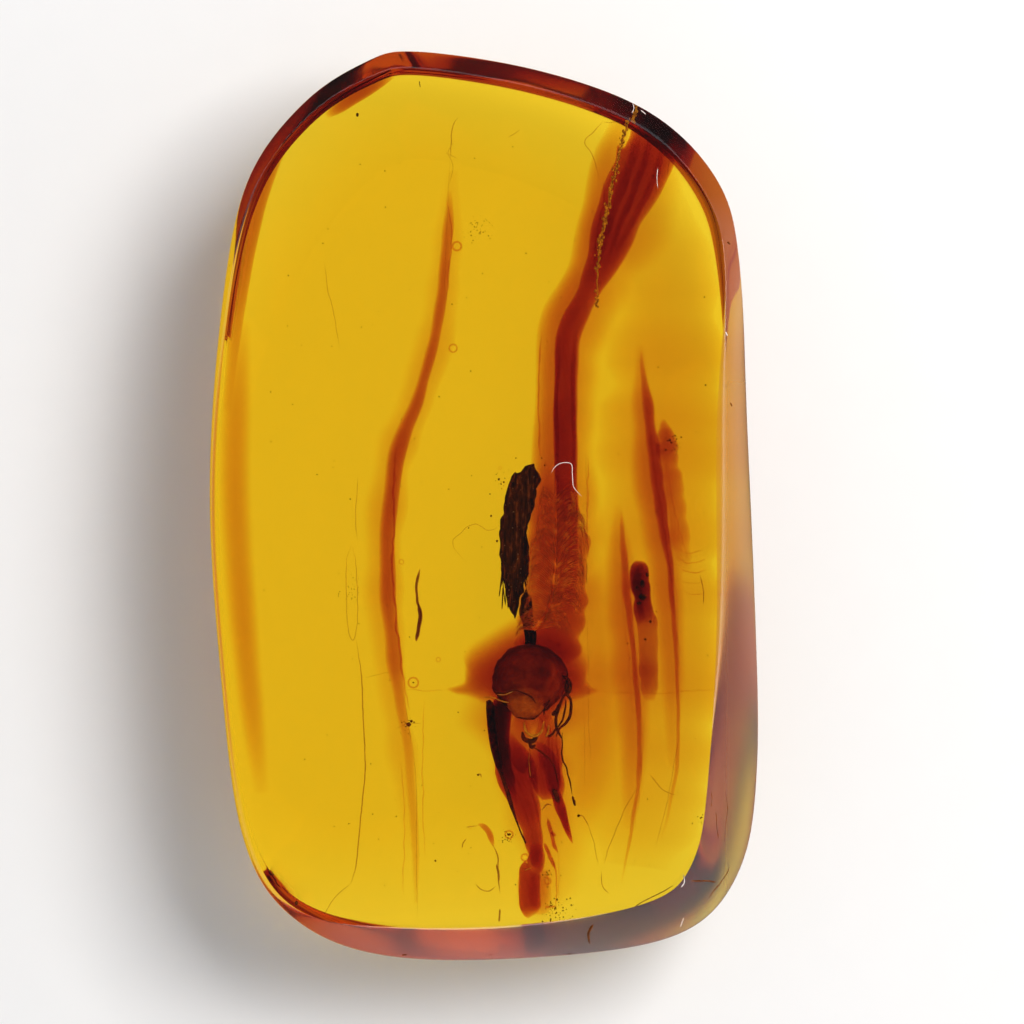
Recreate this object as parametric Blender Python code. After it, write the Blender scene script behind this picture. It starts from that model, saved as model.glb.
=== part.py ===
"""A polished piece of amber with an insect, a feather, a flake of bark and a chip of leaf sealed in it.

The piece lies on its flat back: +X to the right, +Y along its length, +Z up through its thickness.
The origin is the centre of the bounding box at the flat back. The clear body is parted in two at the
plane that runs through the inclusions, and each half holds half of the pockets that they lie in.
"""
import math
import random

import bmesh
import bpy
from mathutils import Matrix, Vector

MM = 0.001                      # the sizes below are in millimetres

# ---- the clear body -------------------------------------------------------------------------
LENGTH = 40.0                   # along y
THICKNESS = 10.0                # from the flat back to the flat face
GIRTH_HEIGHT = 5.2              # where the outline is widest
UNDER_BEVEL_SLOPE = 33.0        # degrees, from the flat back up to the rounded edge
PARTING_HEIGHT = 5.0
GAP = 0.3                       # between pieces that would touch
AROUND = 80                     # points on each ring of the body
EDGE_STEPS = 5                  # rings in each rounded edge
FACE_ROUNDNESS = 1.4            # superellipse exponents of the edge above and below the girth
BACK_ROUNDNESS = 1.6

# Each corner of the outline: x, y, width of the rounded edge, width of the under-bevel inside it.
OUTLINE = [
    (-3.1, 20.0, 0.80, 2.4),
    (2.4, 19.15, 0.90, 2.6),
    (7.3, 17.3, 0.75, 2.6),
    (10.3, 14.2, 0.80, 2.6),
    (11.2, 10.4, 0.90, 2.6),
    (11.6, 3.8, 1.00, 3.0),
    (11.95, -5.0, 1.90, 3.4),
    (12.05, -11.5, 2.30, 2.8),
    (11.3, -16.1, 2.10, 2.0),
    (8.6, -19.0, 2.10, 2.0),
    (2.2, -19.95, 1.75, 3.2),
    (-4.6, -19.85, 1.20, 2.8),
    (-8.6, -17.95, 0.50, 2.0),
    (-10.7, -14.4, 0.40, 1.5),
    (-11.6, -7.4, 0.40, 1.5),
    (-12.1, 0.6, 0.40, 1.5),
    (-11.6, 8.4, 0.45, 1.6),
    (-10.5, 14.2, 0.60, 2.0),
    (-8.0, 17.7, 0.90, 2.4),
    (-5.3, 19.5, 0.95, 2.4),
]

# ---- the insect -----------------------------------------------------------------------------
# Ellipsoids: centre, half-sizes, turn about z in degrees.
THORAX = ((1.78, -7.60, 4.95), (1.65, 1.60, 1.40), 0.0)
HEAD = ((1.85, -8.85, 5.75), (0.80, 0.62, 0.62), 0.0)
ABDOMEN = ((2.75, -11.90, 4.95), (0.85, 2.45, 0.75), 12.0)
FOLDED_WING = ((1.50, -10.60, 5.35), (0.45, 1.65, 0.35), 5.0)
# Flat outlines: the wings, seen from above.
LEFT_WING = [(0.05, -8.50), (0.45, -10.05), (0.85, -11.80), (1.50, -13.55), (2.40, -15.10),
             (2.35, -13.40), (1.90, -11.60), (1.45, -9.80), (1.15, -8.40)]
RIGHT_WING = [(2.75, -10.00), (3.05, -11.60), (3.70, -13.60), (4.60, -15.10),
              (4.00, -12.90), (3.45, -10.40)]
WING_THICKNESS = 0.36
WING_HEIGHT = 4.75
# Limbs: points along the limb, then its radius at the first and the last of them.
TAIL = ([(2.75, -13.40, 4.9), (2.25, -15.10, 4.9), (2.25, -16.90, 4.9), (2.30, -17.90, 4.9)], 0.45, 0.62)
LIMBS = [
    ([(3.00, -7.20, 5.4), (3.80, -8.50, 5.5), (3.60, -9.40, 5.2), (3.05, -10.40, 5.0)], 0.16, 0.13),
    ([(3.00, -7.80, 5.0), (4.05, -8.70, 5.0), (3.75, -9.80, 4.9), (3.15, -10.70, 4.9)], 0.16, 0.12),
    ([(2.70, -13.30, 4.8), (2.93, -16.00, 4.7), (3.28, -17.40, 4.7)], 0.18, 0.10),
    ([(3.00, -12.80, 4.9), (3.30, -14.80, 4.8), (3.55, -16.40, 4.8)], 0.16, 0.09),
    ([(3.10, -10.30, 5.1), (3.90, -12.40, 5.2), (4.40, -13.60, 5.1), (5.00, -15.10, 5.0),
      (5.10, -15.75, 5.0)], 0.12, 0.08),
]

# ---- the bark flake, the leaf chip and the feather ---------------------------------------------
BARK_OUTLINE = [(1.72, 1.80), (2.22, 1.52), (2.38, 1.26), (2.14, 0.75), (2.06, 0.05), (1.96, -0.57),
                (1.83, -2.30), (1.62, -3.60), (1.45, -4.90), (1.20, -4.30), (0.95, -4.05),
                (0.93, -3.40), (0.66, -2.50), (0.64, -1.65), (0.80, -0.12), (0.97, 0.45),
                (1.12, 1.00), (1.42, 1.50)]
BARK_HEIGHT, BARK_THICKNESS, BARK_EDGE = 4.45, 0.80, 0.12
CHIP_OUTLINE = [(6.62, -2.50), (7.18, -2.45), (7.30, -3.40), (7.62, -4.60), (7.68, -6.90), (7.35, -8.40),
                (6.78, -8.45), (6.62, -6.60), (6.72, -4.60), (6.50, -3.50)]
CHIP_HEIGHT, CHIP_THICKNESS, CHIP_EDGE = 5.0, 0.40, 0.08

SHAFT = [(2.12, -5.45, 5.62), (2.62, -4.10, 5.60), (2.97, -2.33, 5.60), (3.11, -0.57, 5.60),
         (3.11, 1.20, 5.60)]
SHAFT_RADII = (0.20, 0.07)
LOCKS_PER_SIDE = 22
RIGHT_LOCK_LENGTH = 1.75
LEFT_LOCK_LENGTH = 1.25
LOCK_RADII = (0.11, 0.04)
LOCK_RISE = 0.10                # how far the tips of the locks stand above or below the shaft

# ---- the pockets: ellipsoids that clear what lies in them --------------------------------------
POCKETS = [
    ((1.85, -7.75, 5.0), (2.35, 2.15, 1.90), 0.0),       # thorax, head
    ((2.65, -12.20, 5.0), (3.15, 4.60, 1.35), 8.0),      # abdomen, wings and legs
    ((2.55, -15.90, 5.0), (1.65, 2.90, 1.20), 0.0),      # tail
    ((2.72, -1.90, 5.0), (2.65, 4.25, 1.70), -4.0),      # bark flake and feather
    ((7.12, -5.45, 5.0), (1.10, 3.60, 0.80), 0.0),       # leaf chip
]
POCKET_FULLNESS = 0.62          # 1 is an ellipsoid, and less is nearer to a box with round corners


def remove_everything():
    for obj in list(bpy.data.objects):
        bpy.data.objects.remove(obj, do_unlink=True)


def new_collection(name):
    collection = bpy.data.collections.new(name)
    bpy.context.scene.collection.children.link(collection)
    return collection


def put(obj, collection):
    for old in list(obj.users_collection):
        old.objects.unlink(obj)
    collection.objects.link(obj)
    return obj


def material(name, colour, roughness, transmission=0.0, ior=1.5):
    mat = bpy.data.materials.new(name)
    mat.use_nodes = True
    shader = mat.node_tree.nodes["Principled BSDF"]
    shader.inputs["Base Color"].default_value = (*colour, 1.0)
    shader.inputs["Roughness"].default_value = roughness
    shader.inputs["Metallic"].default_value = 0.0
    shader.inputs["Transmission Weight"].default_value = transmission
    shader.inputs["IOR"].default_value = ior
    return mat


def mesh_object(name, bm, collection, mat=None):
    mesh = bpy.data.meshes.new(name)
    bm.to_mesh(mesh)
    bm.free()
    obj = bpy.data.objects.new(name, mesh)
    collection.objects.link(obj)
    if mat:
        mesh.materials.append(mat)
    return obj


def placed(centre, half_sizes, turn):
    """The matrix that gives a unit shape its half-sizes, its turn about z and its place."""
    return (Matrix.Translation(Vector(centre) * MM) @ Matrix.Rotation(math.radians(turn), 4, 'Z')
            @ Matrix.Diagonal((*(size * MM for size in half_sizes), 1.0)))


def as_guide(obj):
    """Marks a cutter or a piece that another object takes in, so that it isn't a piece itself."""
    obj.hide_render = True
    obj.display_type = 'WIRE'
    return obj


# ---- curves through named points ------------------------------------------------------------
def spline_point(p0, p1, p2, p3, f):
    """A point of the Catmull-Rom curve between p1 and p2."""
    return tuple(0.5 * (2 * b + (c - a) * f + (2 * a - 5 * b + 4 * c - d) * f ** 2
                        + (3 * b - a - 3 * c + d) * f ** 3) for a, b, c, d in zip(p0, p1, p2, p3))


def closed_curve(points, count):
    """count values along the closed curve through the points."""
    size = len(points)
    values = []
    for i in range(count):
        k, f = divmod(i * size / count, 1.0)
        k = int(k)
        values.append(spline_point(*(points[(k + step) % size] for step in (-1, 0, 1, 2)), f))
    return values


def open_curve(points, count):
    """count values along the open curve through the points."""
    padded = [points[0]] + list(points) + [points[-1]]
    values = []
    for i in range(count):
        k = min(int(i * (len(points) - 1) / (count - 1)), len(points) - 2)
        f = i * (len(points) - 1) / (count - 1) - k
        values.append(spline_point(*padded[k:k + 4], f))
    return values


def smoothed(ring, rounds):
    """The closed ring with each point eased towards its neighbours."""
    for _ in range(rounds):
        size = len(ring)
        ring = [tuple((a + 2 * b + c) / 4 for a, b, c in zip(ring[i - 1], ring[i], ring[(i + 1) % size]))
                for i in range(size)]
    return ring


def inset(ring, widths):
    """The ring moved inwards by a width of its own at each point; the ring runs clockwise."""
    moved = []
    for i, (x, y) in enumerate(ring):
        along = Vector(ring[(i + 1) % len(ring)]) - Vector(ring[i - 1])
        inwards = Vector((along.y, -along.x)).normalized() * widths[i]
        moved.append((x + inwards.x, y + inwards.y))
    return moved


def between(ring_a, ring_b, t):
    return [tuple(a + (b - a) * t for a, b in zip(pa, pb)) for pa, pb in zip(ring_a, ring_b)]


# ---- the clear body -------------------------------------------------------------------------
def quarter_turn(steps, exponent):
    """Outward and upward shares, from (0, 1) to (1, 0), along a quarter of a superellipse."""
    angles = [i / steps * math.pi / 2 for i in range(steps + 1)]
    return [(math.sin(a) ** (2 / exponent), max(math.cos(a), 0.0) ** (2 / exponent)) for a in angles]


def body_rings():
    """The body's rings from the flat back to the flat face, as lists of points in millimetres."""
    corners = smoothed(closed_curve(OUTLINE, AROUND), 1)
    left, right, back_end, front_end = (pick(corner[axis] for corner in corners)
                                        for axis in (0, 1) for pick in (min, max))
    scale = LENGTH / (front_end - back_end)
    girth = [((x - (left + right) / 2) * scale, (y - (back_end + front_end) / 2) * scale)
             for x, y, rim, bevel in corners]
    rim_line = smoothed(inset(girth, [rim for x, y, rim, bevel in corners]), 1)
    back = smoothed(inset(rim_line, [bevel for x, y, rim, bevel in corners]), 9)
    slope = math.tan(math.radians(UNDER_BEVEL_SLOPE))
    ridge_heights = [math.dist(a, b) * slope for a, b in zip(rim_line, back)]

    rings = [[(x, y, 0.0) for x, y in back]]
    for out, up in quarter_turn(EDGE_STEPS, BACK_ROUNDNESS):
        rings.append([(x, y, h + (GIRTH_HEIGHT - h) * (1 - up))
                      for (x, y), h in zip(between(rim_line, girth, out), ridge_heights)])
    for out, up in reversed(quarter_turn(EDGE_STEPS, FACE_ROUNDNESS)[:-1]):
        height = GIRTH_HEIGHT + (THICKNESS - GIRTH_HEIGHT) * up
        rings.append([(x, y, height) for x, y in between(rim_line, girth, out)])
    return rings


def loft(rings):
    """A closed body through the rings, with a flat face on the first and the last of them."""
    bm = bmesh.new()
    loops = []
    for ring in rings:
        verts = [bm.verts.new(Vector(point) * MM) for point in ring]
        loops.append([bm.edges.new((verts[i - 1], verts[i])) for i in range(len(verts))])
    for lower, upper in zip(loops, loops[1:]):
        bmesh.ops.bridge_loops(bm, edges=lower + upper)
    for loop in (loops[0], loops[-1]):
        bmesh.ops.contextual_create(bm, geom=loop)
    bmesh.ops.recalc_face_normals(bm, faces=bm.faces)
    return bm


def body_half(name, rings, cut_height, keep_above, collection, mat):
    """The part of the body above or below a level cut."""
    bm = loft(rings)
    cut = bmesh.ops.bisect_plane(bm, geom=bm.verts[:] + bm.edges[:] + bm.faces[:], dist=1e-7,
                                 plane_co=(0, 0, cut_height * MM), plane_no=(0, 0, 1),
                                 clear_inner=keep_above, clear_outer=not keep_above)
    rim = [item for item in cut['geom_cut'] if isinstance(item, bmesh.types.BMEdge)]
    bmesh.ops.contextual_create(bm, geom=rim)
    bmesh.ops.recalc_face_normals(bm, faces=bm.faces)
    return mesh_object(name, bm, collection, mat)


def pocket_shape(name, shape, collection):
    """An ellipsoid filled out towards its corners."""
    centre, half_sizes, turn = shape
    bm = bmesh.new()
    bmesh.ops.create_uvsphere(bm, u_segments=24, v_segments=12, radius=1.0)
    for vert in bm.verts:
        vert.co = [math.copysign(abs(c) ** POCKET_FULLNESS, c) for c in vert.co]
    bmesh.ops.transform(bm, matrix=placed(centre, half_sizes, turn), verts=bm.verts)
    return mesh_object(name, bm, collection)


def cut_pockets(half, pockets):
    cut = half.modifiers.new("pockets", 'BOOLEAN')
    cut.operation = 'DIFFERENCE'
    cut.solver = 'EXACT'
    cut.operand_type = 'COLLECTION'
    cut.collection = pockets


# ---- shapes that the inclusions are made of ---------------------------------------------------
def ellipsoid(name, shape, collection, segments=20):
    centre, half_sizes, turn = shape
    bm = bmesh.new()
    bmesh.ops.create_uvsphere(bm, u_segments=segments, v_segments=segments // 2, radius=1.0)
    bmesh.ops.transform(bm, matrix=placed(centre, half_sizes, turn), verts=bm.verts)
    return mesh_object(name, bm, collection)


def plate(name, outline, height, thickness, edge, collection):
    """A flat piece of the given outline, with its rims cut back by edge."""
    bm = bmesh.new()
    face = bm.faces.new([bm.verts.new(Vector((x, y, height - thickness / 2)) * MM) for x, y in outline])
    raised = bmesh.ops.extrude_face_region(bm, geom=[face])
    lifted = [item for item in raised['geom'] if isinstance(item, bmesh.types.BMVert)]
    bmesh.ops.translate(bm, vec=(0, 0, thickness * MM), verts=lifted)
    bmesh.ops.recalc_face_normals(bm, faces=bm.faces)
    level = [e for e in bm.edges if abs(e.verts[0].co.z - e.verts[1].co.z) < 1e-7]
    bmesh.ops.bevel(bm, geom=level, offset=edge * MM, offset_type='OFFSET', segments=1, profile=0.5,
                    affect='EDGES', material=-1)
    return mesh_object(name, bm, collection)


def tube(name, points, radius_a, radius_b, collection, steps=8, sides=1):
    """A round, tapered limb along a smooth curve; sides is the curve's bevel resolution."""
    curve = bpy.data.curves.new(name, 'CURVE')
    curve.dimensions = '3D'
    curve.bevel_depth = MM
    curve.bevel_resolution = sides
    curve.use_fill_caps = True
    route = open_curve(points, steps)
    spline = curve.splines.new('POLY')
    spline.points.add(len(route) - 1)
    for i, (point, place) in enumerate(zip(spline.points, route)):
        point.co = (*(Vector(place) * MM), 1.0)
        point.radius = radius_a + (radius_b - radius_a) * i / (len(route) - 1)
    drawn = bpy.data.objects.new(name, curve)
    collection.objects.link(drawn)
    bpy.context.view_layer.update()
    evaluated = drawn.evaluated_get(bpy.context.evaluated_depsgraph_get())
    mesh = bpy.data.meshes.new_from_object(evaluated)
    bpy.data.objects.remove(drawn)
    bm = bmesh.new()
    bm.from_mesh(mesh)
    bmesh.ops.remove_doubles(bm, verts=bm.verts, dist=1e-7)
    bmesh.ops.recalc_face_normals(bm, faces=bm.faces)
    return mesh_object(name, bm, collection)


def fuse(obj, pieces):
    """Joins every piece of a collection to obj in one solid."""
    join = obj.modifiers.new("grown_together", 'BOOLEAN')
    join.operation = 'UNION'
    join.solver = 'EXACT'
    join.operand_type = 'COLLECTION'
    join.collection = pieces
    return obj


# ---- the inclusions -------------------------------------------------------------------------
def make_insect(collection, shapes, mat):
    thorax = ellipsoid("insect", THORAX, collection, segments=24)
    thorax.data.materials.append(mat)
    for name, shape in (("head", HEAD), ("abdomen", ABDOMEN), ("folded_wing", FOLDED_WING)):
        ellipsoid(name, shape, shapes)
    plate("left_wing", LEFT_WING, WING_HEIGHT, WING_THICKNESS, 0.06, shapes)
    plate("right_wing", RIGHT_WING, WING_HEIGHT, WING_THICKNESS, 0.06, shapes)
    tube("tail", *TAIL, shapes, steps=7, sides=2)
    for i, limb in enumerate(LIMBS):
        tube(f"limb_{i + 1}", *limb, shapes)
    return fuse(thorax, shapes)


def lock_route(root, along, side, length, rise):
    """A lock of barbs leaves the shaft at a slant and curls outwards to its tip."""
    outwards = Vector((along.y, -along.x, 0.0)) * side
    return [root,
            root + (along * 0.45 + outwards * 0.35) * length + Vector((0, 0, rise * 0.6)),
            root + (along * 0.62 + outwards * 0.75) * length + Vector((0, 0, rise)),
            root + (along * 0.45 + outwards * 1.05) * length + Vector((0, 0, rise * 0.7))]


def make_feather(collection, shapes, mat):
    shaft = tube("feather", SHAFT, *SHAFT_RADII, collection, steps=14, sides=2)
    shaft.data.materials.append(mat)
    spread = random.Random(7)
    route = [Vector(point) for point in open_curve(SHAFT, 4 * LOCKS_PER_SIDE + 1)]
    for i in range(LOCKS_PER_SIDE):
        share = (i + 1) / (LOCKS_PER_SIDE + 1)
        k = round(share * (len(route) - 2))
        along = (route[k + 1] - route[k]).normalized()
        fullness = math.sin(math.pi * (0.18 + 0.74 * share)) ** 0.7
        for side, length in ((1, RIGHT_LOCK_LENGTH), (-1, LEFT_LOCK_LENGTH)):
            reach = length * fullness * spread.uniform(0.85, 1.0)
            rise = LOCK_RISE * spread.uniform(-1.0, 1.0)
            points = lock_route(route[k], along, side, reach, rise)
            tube(f"lock_{i + 1}_{'right' if side > 0 else 'left'}", points, *LOCK_RADII, shapes,
                 steps=4, sides=0)
    return fuse(shaft, shapes)


def main():
    remove_everything()
    parts = new_collection("insect_in_amber")
    pockets = new_collection("pocket_cutters")
    insect_shapes = new_collection("insect_shapes")
    feather_shapes = new_collection("feather_shapes")

    amber = material("amber", (0.90, 0.48, 0.03), 0.02, transmission=1.0, ior=1.54)
    chitin = material("chitin", (0.22, 0.03, 0.008), 0.45)
    bark = material("bark", (0.05, 0.02, 0.008), 0.85)
    down = material("down", (0.36, 0.06, 0.015), 0.75)
    leaf = material("leaf", (0.30, 0.04, 0.01), 0.70)

    for i, shape in enumerate(POCKETS):
        as_guide(pocket_shape(f"pocket_{i + 1}", shape, pockets))
    rings = body_rings()
    lower = body_half("amber_lower", rings, PARTING_HEIGHT - GAP / 2, False, parts, amber)
    upper = body_half("amber_upper", rings, PARTING_HEIGHT + GAP / 2, True, parts, amber)
    for half in (lower, upper):
        cut_pockets(half, pockets)

    make_insect(parts, insect_shapes, chitin)
    make_feather(parts, feather_shapes, down)
    flake = plate("bark_flake", BARK_OUTLINE, BARK_HEIGHT, BARK_THICKNESS, BARK_EDGE, parts)
    flake.data.materials.append(bark)
    chip = plate("leaf_chip", CHIP_OUTLINE, CHIP_HEIGHT, CHIP_THICKNESS, CHIP_EDGE, parts)
    chip.data.materials.append(leaf)
    for shapes in (insect_shapes, feather_shapes):
        for obj in shapes.objects:
            as_guide(obj)


main()
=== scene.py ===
# %% [markdown]
# # An insect in amber
# Amber is fossil resin. This piece was ground and polished to a rounded tablet, so that one looks
# through a flat face at what the resin caught: an insect, a small feather, a flake of bark and a chip
# of leaf. The solids are already packed with their real sizes. This notebook gives them their looks,
# one piece and one finish at a time, and never moves or resizes a solid.

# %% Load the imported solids
import math
import random

import bmesh
import bpy
from mathutils import Matrix, Vector, noise


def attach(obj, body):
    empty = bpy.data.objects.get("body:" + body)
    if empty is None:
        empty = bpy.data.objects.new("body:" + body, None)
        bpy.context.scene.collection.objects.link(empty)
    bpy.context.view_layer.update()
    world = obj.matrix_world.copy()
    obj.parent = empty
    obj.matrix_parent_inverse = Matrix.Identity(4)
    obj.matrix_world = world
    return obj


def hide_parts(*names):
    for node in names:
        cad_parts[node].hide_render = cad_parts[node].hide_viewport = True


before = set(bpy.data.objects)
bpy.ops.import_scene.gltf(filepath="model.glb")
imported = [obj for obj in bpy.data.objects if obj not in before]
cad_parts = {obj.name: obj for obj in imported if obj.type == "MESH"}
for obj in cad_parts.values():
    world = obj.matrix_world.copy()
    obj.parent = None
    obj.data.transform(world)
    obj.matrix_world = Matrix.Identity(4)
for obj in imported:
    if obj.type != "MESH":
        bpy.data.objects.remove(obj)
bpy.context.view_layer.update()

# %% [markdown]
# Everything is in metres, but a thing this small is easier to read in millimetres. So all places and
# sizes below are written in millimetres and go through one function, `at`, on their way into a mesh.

MM = 0.001


def at(x, y, z):
    """A place given in millimetres, in metres."""
    return Vector((x, y, z)) * MM


print("nodes to dress:", ", ".join(sorted(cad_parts)))

# %% [markdown]
# ## Smooth curves through a few points
# Flow lines, veins and outlines are all smooth, and a few well-placed points describe them better
# than many. A Catmull-Rom curve passes through its points, which makes them easy to place. Values of
# any kind can ride along as further numbers of each point, such as a width and a thickness.

# %% Curves


def on_curve(p0, p1, p2, p3, f):
    """The value between p1 and p2 at the share f, with p0 and p3 as their neighbours."""
    return tuple(0.5 * (2 * b + (c - a) * f + (2 * a - 5 * b + 4 * c - d) * f ** 2
                        + (3 * b - a - 3 * c + d) * f ** 3) for a, b, c, d in zip(p0, p1, p2, p3))


def open_curve(points, count):
    """count values from the first point to the last."""
    padded = [points[0], *points, points[-1]]
    values = []
    for i in range(count):
        place = i * (len(points) - 1) / (count - 1)
        k = min(int(place), len(points) - 2)
        values.append(on_curve(*padded[k:k + 4], place - k))
    return values


def closed_curve(points, count):
    """count values once round the closed curve."""
    size = len(points)
    values = []
    for i in range(count):
        k, f = divmod(i * size / count, 1.0)
        values.append(on_curve(*(points[(int(k) + step) % size] for step in (-1, 0, 1, 2)), f))
    return values


def smoothed(ring, rounds):
    """The closed ring with each value eased towards its neighbours."""
    for _ in range(rounds):
        size = len(ring)
        ring = [tuple((a + 2 * b + c) / 4 for a, b, c in zip(ring[i - 1], ring[i], ring[(i + 1) % size]))
                for i in range(size)]
    return ring


# %% [markdown]
# ## Shader maths as plain expressions
# A procedural finish is arithmetic on patterns. `Wire` stands for one output of a node, and Python's
# own operators on it add Math nodes, so a mask reads as `1 - grain * 0.4`. `Finish` makes one
# material and all its nodes. What varies over a surface only goes to colour, roughness, coat, alpha
# or bump, and what is the same all over is set on the shader's own socket.

# %% Shader helpers


class Wire:
    """An output socket of a node in a finish, for use in arithmetic."""

    def __init__(self, finish, socket):
        self.finish = finish
        self.socket = socket

    def _maths(self, operation, a, b):
        return self.finish.node("ShaderNodeMath", {"operation": operation}, {0: a, 1: b})

    def __add__(self, other):
        return self._maths('ADD', self, other)

    __radd__ = __add__

    def __sub__(self, other):
        return self._maths('SUBTRACT', self, other)

    def __rsub__(self, other):
        return self._maths('SUBTRACT', other, self)

    def __mul__(self, other):
        return self._maths('MULTIPLY', self, other)

    __rmul__ = __mul__

    def __truediv__(self, other):
        return self._maths('DIVIDE', self, other)

    def __pow__(self, other):
        return self._maths('POWER', self, other)


class Finish:
    """A material with one Principled shader, whose other nodes are added as they are needed."""

    def __init__(self, name, **constants):
        self.material = bpy.data.materials.new(name)
        self.material.use_nodes = True
        self.tree = self.material.node_tree
        self.shader = self.tree.nodes["Principled BSDF"]
        for socket, value in constants.items():
            self.shader.inputs[socket.replace("_", " ")].default_value = value

    def node(self, kind, settings=None, values=None, output=0):
        """Adds a node: its settings first, then a value or a link for each of its sockets."""
        made = self.tree.nodes.new(kind)
        for name, value in (settings or {}).items():
            if name == "stops":
                self._set_stops(made.color_ramp, value)
            else:
                setattr(made, name, value)
        for key, value in (values or {}).items():
            self.feed(made.inputs[key], value)
        return Wire(self, made.outputs[output])

    @staticmethod
    def _set_stops(ramp, stops):
        while len(ramp.elements) < len(stops):
            ramp.elements.new(1.0)
        for element, (position, colour) in zip(ramp.elements, stops):
            element.position = position
            element.color = (*colour, 1.0)

    def feed(self, socket, value):
        if isinstance(value, Wire):
            self.tree.links.new(value.socket, socket)
        else:
            socket.default_value = value

    def place(self):
        """The Object coordinates, in metres, in which every piece has the frame's axes."""
        return self.node("ShaderNodeTexCoord", output="Object")

    def stretched(self, turn=0.0, scale=(1.0, 1.0, 1.0)):
        """Object coordinates turned about z, in degrees, and scaled, for a grain that runs one way."""
        return self.node("ShaderNodeMapping", {}, {"Vector": self.place(), "Scale": scale,
                                                   "Rotation": (0.0, 0.0, math.radians(turn))})

    def cloud(self, per_mm, detail=3.0, vector=None, roughness=0.55):
        """Soft noise between 0 and 1, with about per_mm blots to the millimetre."""
        return self.node("ShaderNodeTexNoise", {}, {"Vector": vector or self.place(),
                                                    "Scale": per_mm / MM, "Detail": detail,
                                                    "Roughness": roughness})

    def ramp(self, value, stops):
        """Turns a number into a colour through a ramp's stops."""
        return self.node("ShaderNodeValToRGB", {"stops": stops}, {"Fac": value})

    def step(self, value, low, high):
        """0 below low and 1 above high, with a soft rise between."""
        return self.node("ShaderNodeMapRange", {"interpolation_type": 'SMOOTHSTEP'},
                         {"Value": value, "From Min": low, "From Max": high})

    def mix(self, share, colour_a, colour_b):
        """colour_a where the share is 0 and colour_b where it is 1."""
        made = self.tree.nodes.new("ShaderNodeMix")
        made.data_type = 'RGBA'
        for socket, value in ((0, share), (6, colour_a), (7, colour_b)):
            self.feed(made.inputs[socket], value if isinstance(value, (Wire, float)) else (*value, 1.0))
        return Wire(self, made.outputs[2])

    def bump(self, height, depth_mm, strength=1.0):
        """Feeds the shader's Normal from a height pattern that is depth_mm deep."""
        relief = self.node("ShaderNodeBump", {}, {"Height": height, "Distance": depth_mm * MM,
                                                  "Strength": strength})
        self.feed(self.shader.inputs["Normal"], relief)

    def colour(self, value):
        self.feed(self.shader.inputs["Base Color"], value)

    def absorb(self, per_metre):
        """Fills the piece with a clear medium that swallows light, given per metre for each colour."""
        density = max(per_metre)
        medium = self.tree.nodes.new("ShaderNodeVolumeAbsorption")
        medium.inputs["Density"].default_value = density
        medium.inputs["Color"].default_value = (*(1 - part / density for part in per_metre), 1.0)
        self.tree.links.new(medium.outputs[0], self.tree.nodes["Material Output"].inputs["Volume"])


print("shader helpers ready")

# %% [markdown]
# ## Growing a mesh from ring to ring
# Most things in this piece are long: a flow line, a wing, a leg, a barb. Each starts as a capped
# circle, and its end face is extruded from station to station, with the new corners moved to where
# that station's ring lies. The body stays closed all the way. An exponent above 1 pinches the ring to
# a lens with thin edges, which is how a stain in resin fades out: less stained resin to look through.

# %% Growing bodies


def grown(rings):
    """A closed bmesh through the rings, made by extruding its end face from one to the next."""
    bm = bmesh.new()
    bmesh.ops.create_circle(bm, cap_ends=True, segments=len(rings[0]), radius=MM)
    bm.faces.ensure_lookup_table()
    start = end = bm.faces[0]
    for vert, place in zip(end.verts, rings[0]):
        vert.co = place
    for ring in rings[1:]:
        extruded = bmesh.ops.extrude_face_region(bm, geom=[end])
        if end is not start:
            bmesh.ops.delete(bm, geom=[end], context='FACES_ONLY')
        end = next(item for item in extruded['geom'] if isinstance(item, bmesh.types.BMFace))
        for vert, place in zip(end.verts, ring):
            vert.co = place
    bmesh.ops.recalc_face_normals(bm, faces=bm.faces)
    return bm


def rings_along(stations, sides, pinch=(1.0, 1.0)):
    """Rings round stations (x, y, z, half-width, half-height). The pinch thins the left edge and the
    right edge, as seen from above on the way down the page: 0.5 is blunt, 1 round and 4 feathered."""
    rings = []
    for i, (x, y, z, half_width, half_height) in enumerate(stations):
        ahead = Vector(stations[min(i + 1, len(stations) - 1)][:3])
        along = (ahead - Vector(stations[max(i - 1, 0)][:3])).normalized()
        across = Vector((-along.y, along.x, 0.0)).normalized()
        up = along.cross(across)
        ring = []
        for k in range(sides):
            turn = 2 * math.pi * k / sides
            thinning = pinch[0] if math.cos(turn) < 0 else pinch[1]
            rise = math.copysign(abs(math.sin(turn)) ** thinning, math.sin(turn))
            offset = across * (half_width * math.cos(turn)) + up * (half_height * rise)
            ring.append((Vector((x, y, z)) + offset) * MM)
        rings.append(ring)
    return rings


def wandering(stations, amount, per_mm, seed):
    """The stations with their sides eased in and out, as nothing in resin has a ruled edge."""
    moved = []
    for x, y, z, half_width, half_height in stations:
        probe = Vector((x * per_mm, y * per_mm, seed))
        drift = noise.noise_vector(probe) * amount
        swell = 1 + 0.5 * noise.noise(probe + Vector((17.0, 5.0, 3.0))) * min(1.0, amount * 8)
        moved.append((x + drift.x, y + drift.y, z + drift.z,
                      max(half_width * swell, 0.003), max(half_height * swell, 0.003)))
    return moved


def ribbon(points, count=60, sides=20, pinch=(3.0, 3.0), drift=0.04, per_mm=0.6, seed=1.0):
    """A closed ribbon through stations (x, y, z, half-width, half-height), for stains and membranes."""
    return grown(rings_along(wandering(open_curve(points, count), drift, per_mm, seed), sides, pinch))


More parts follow.
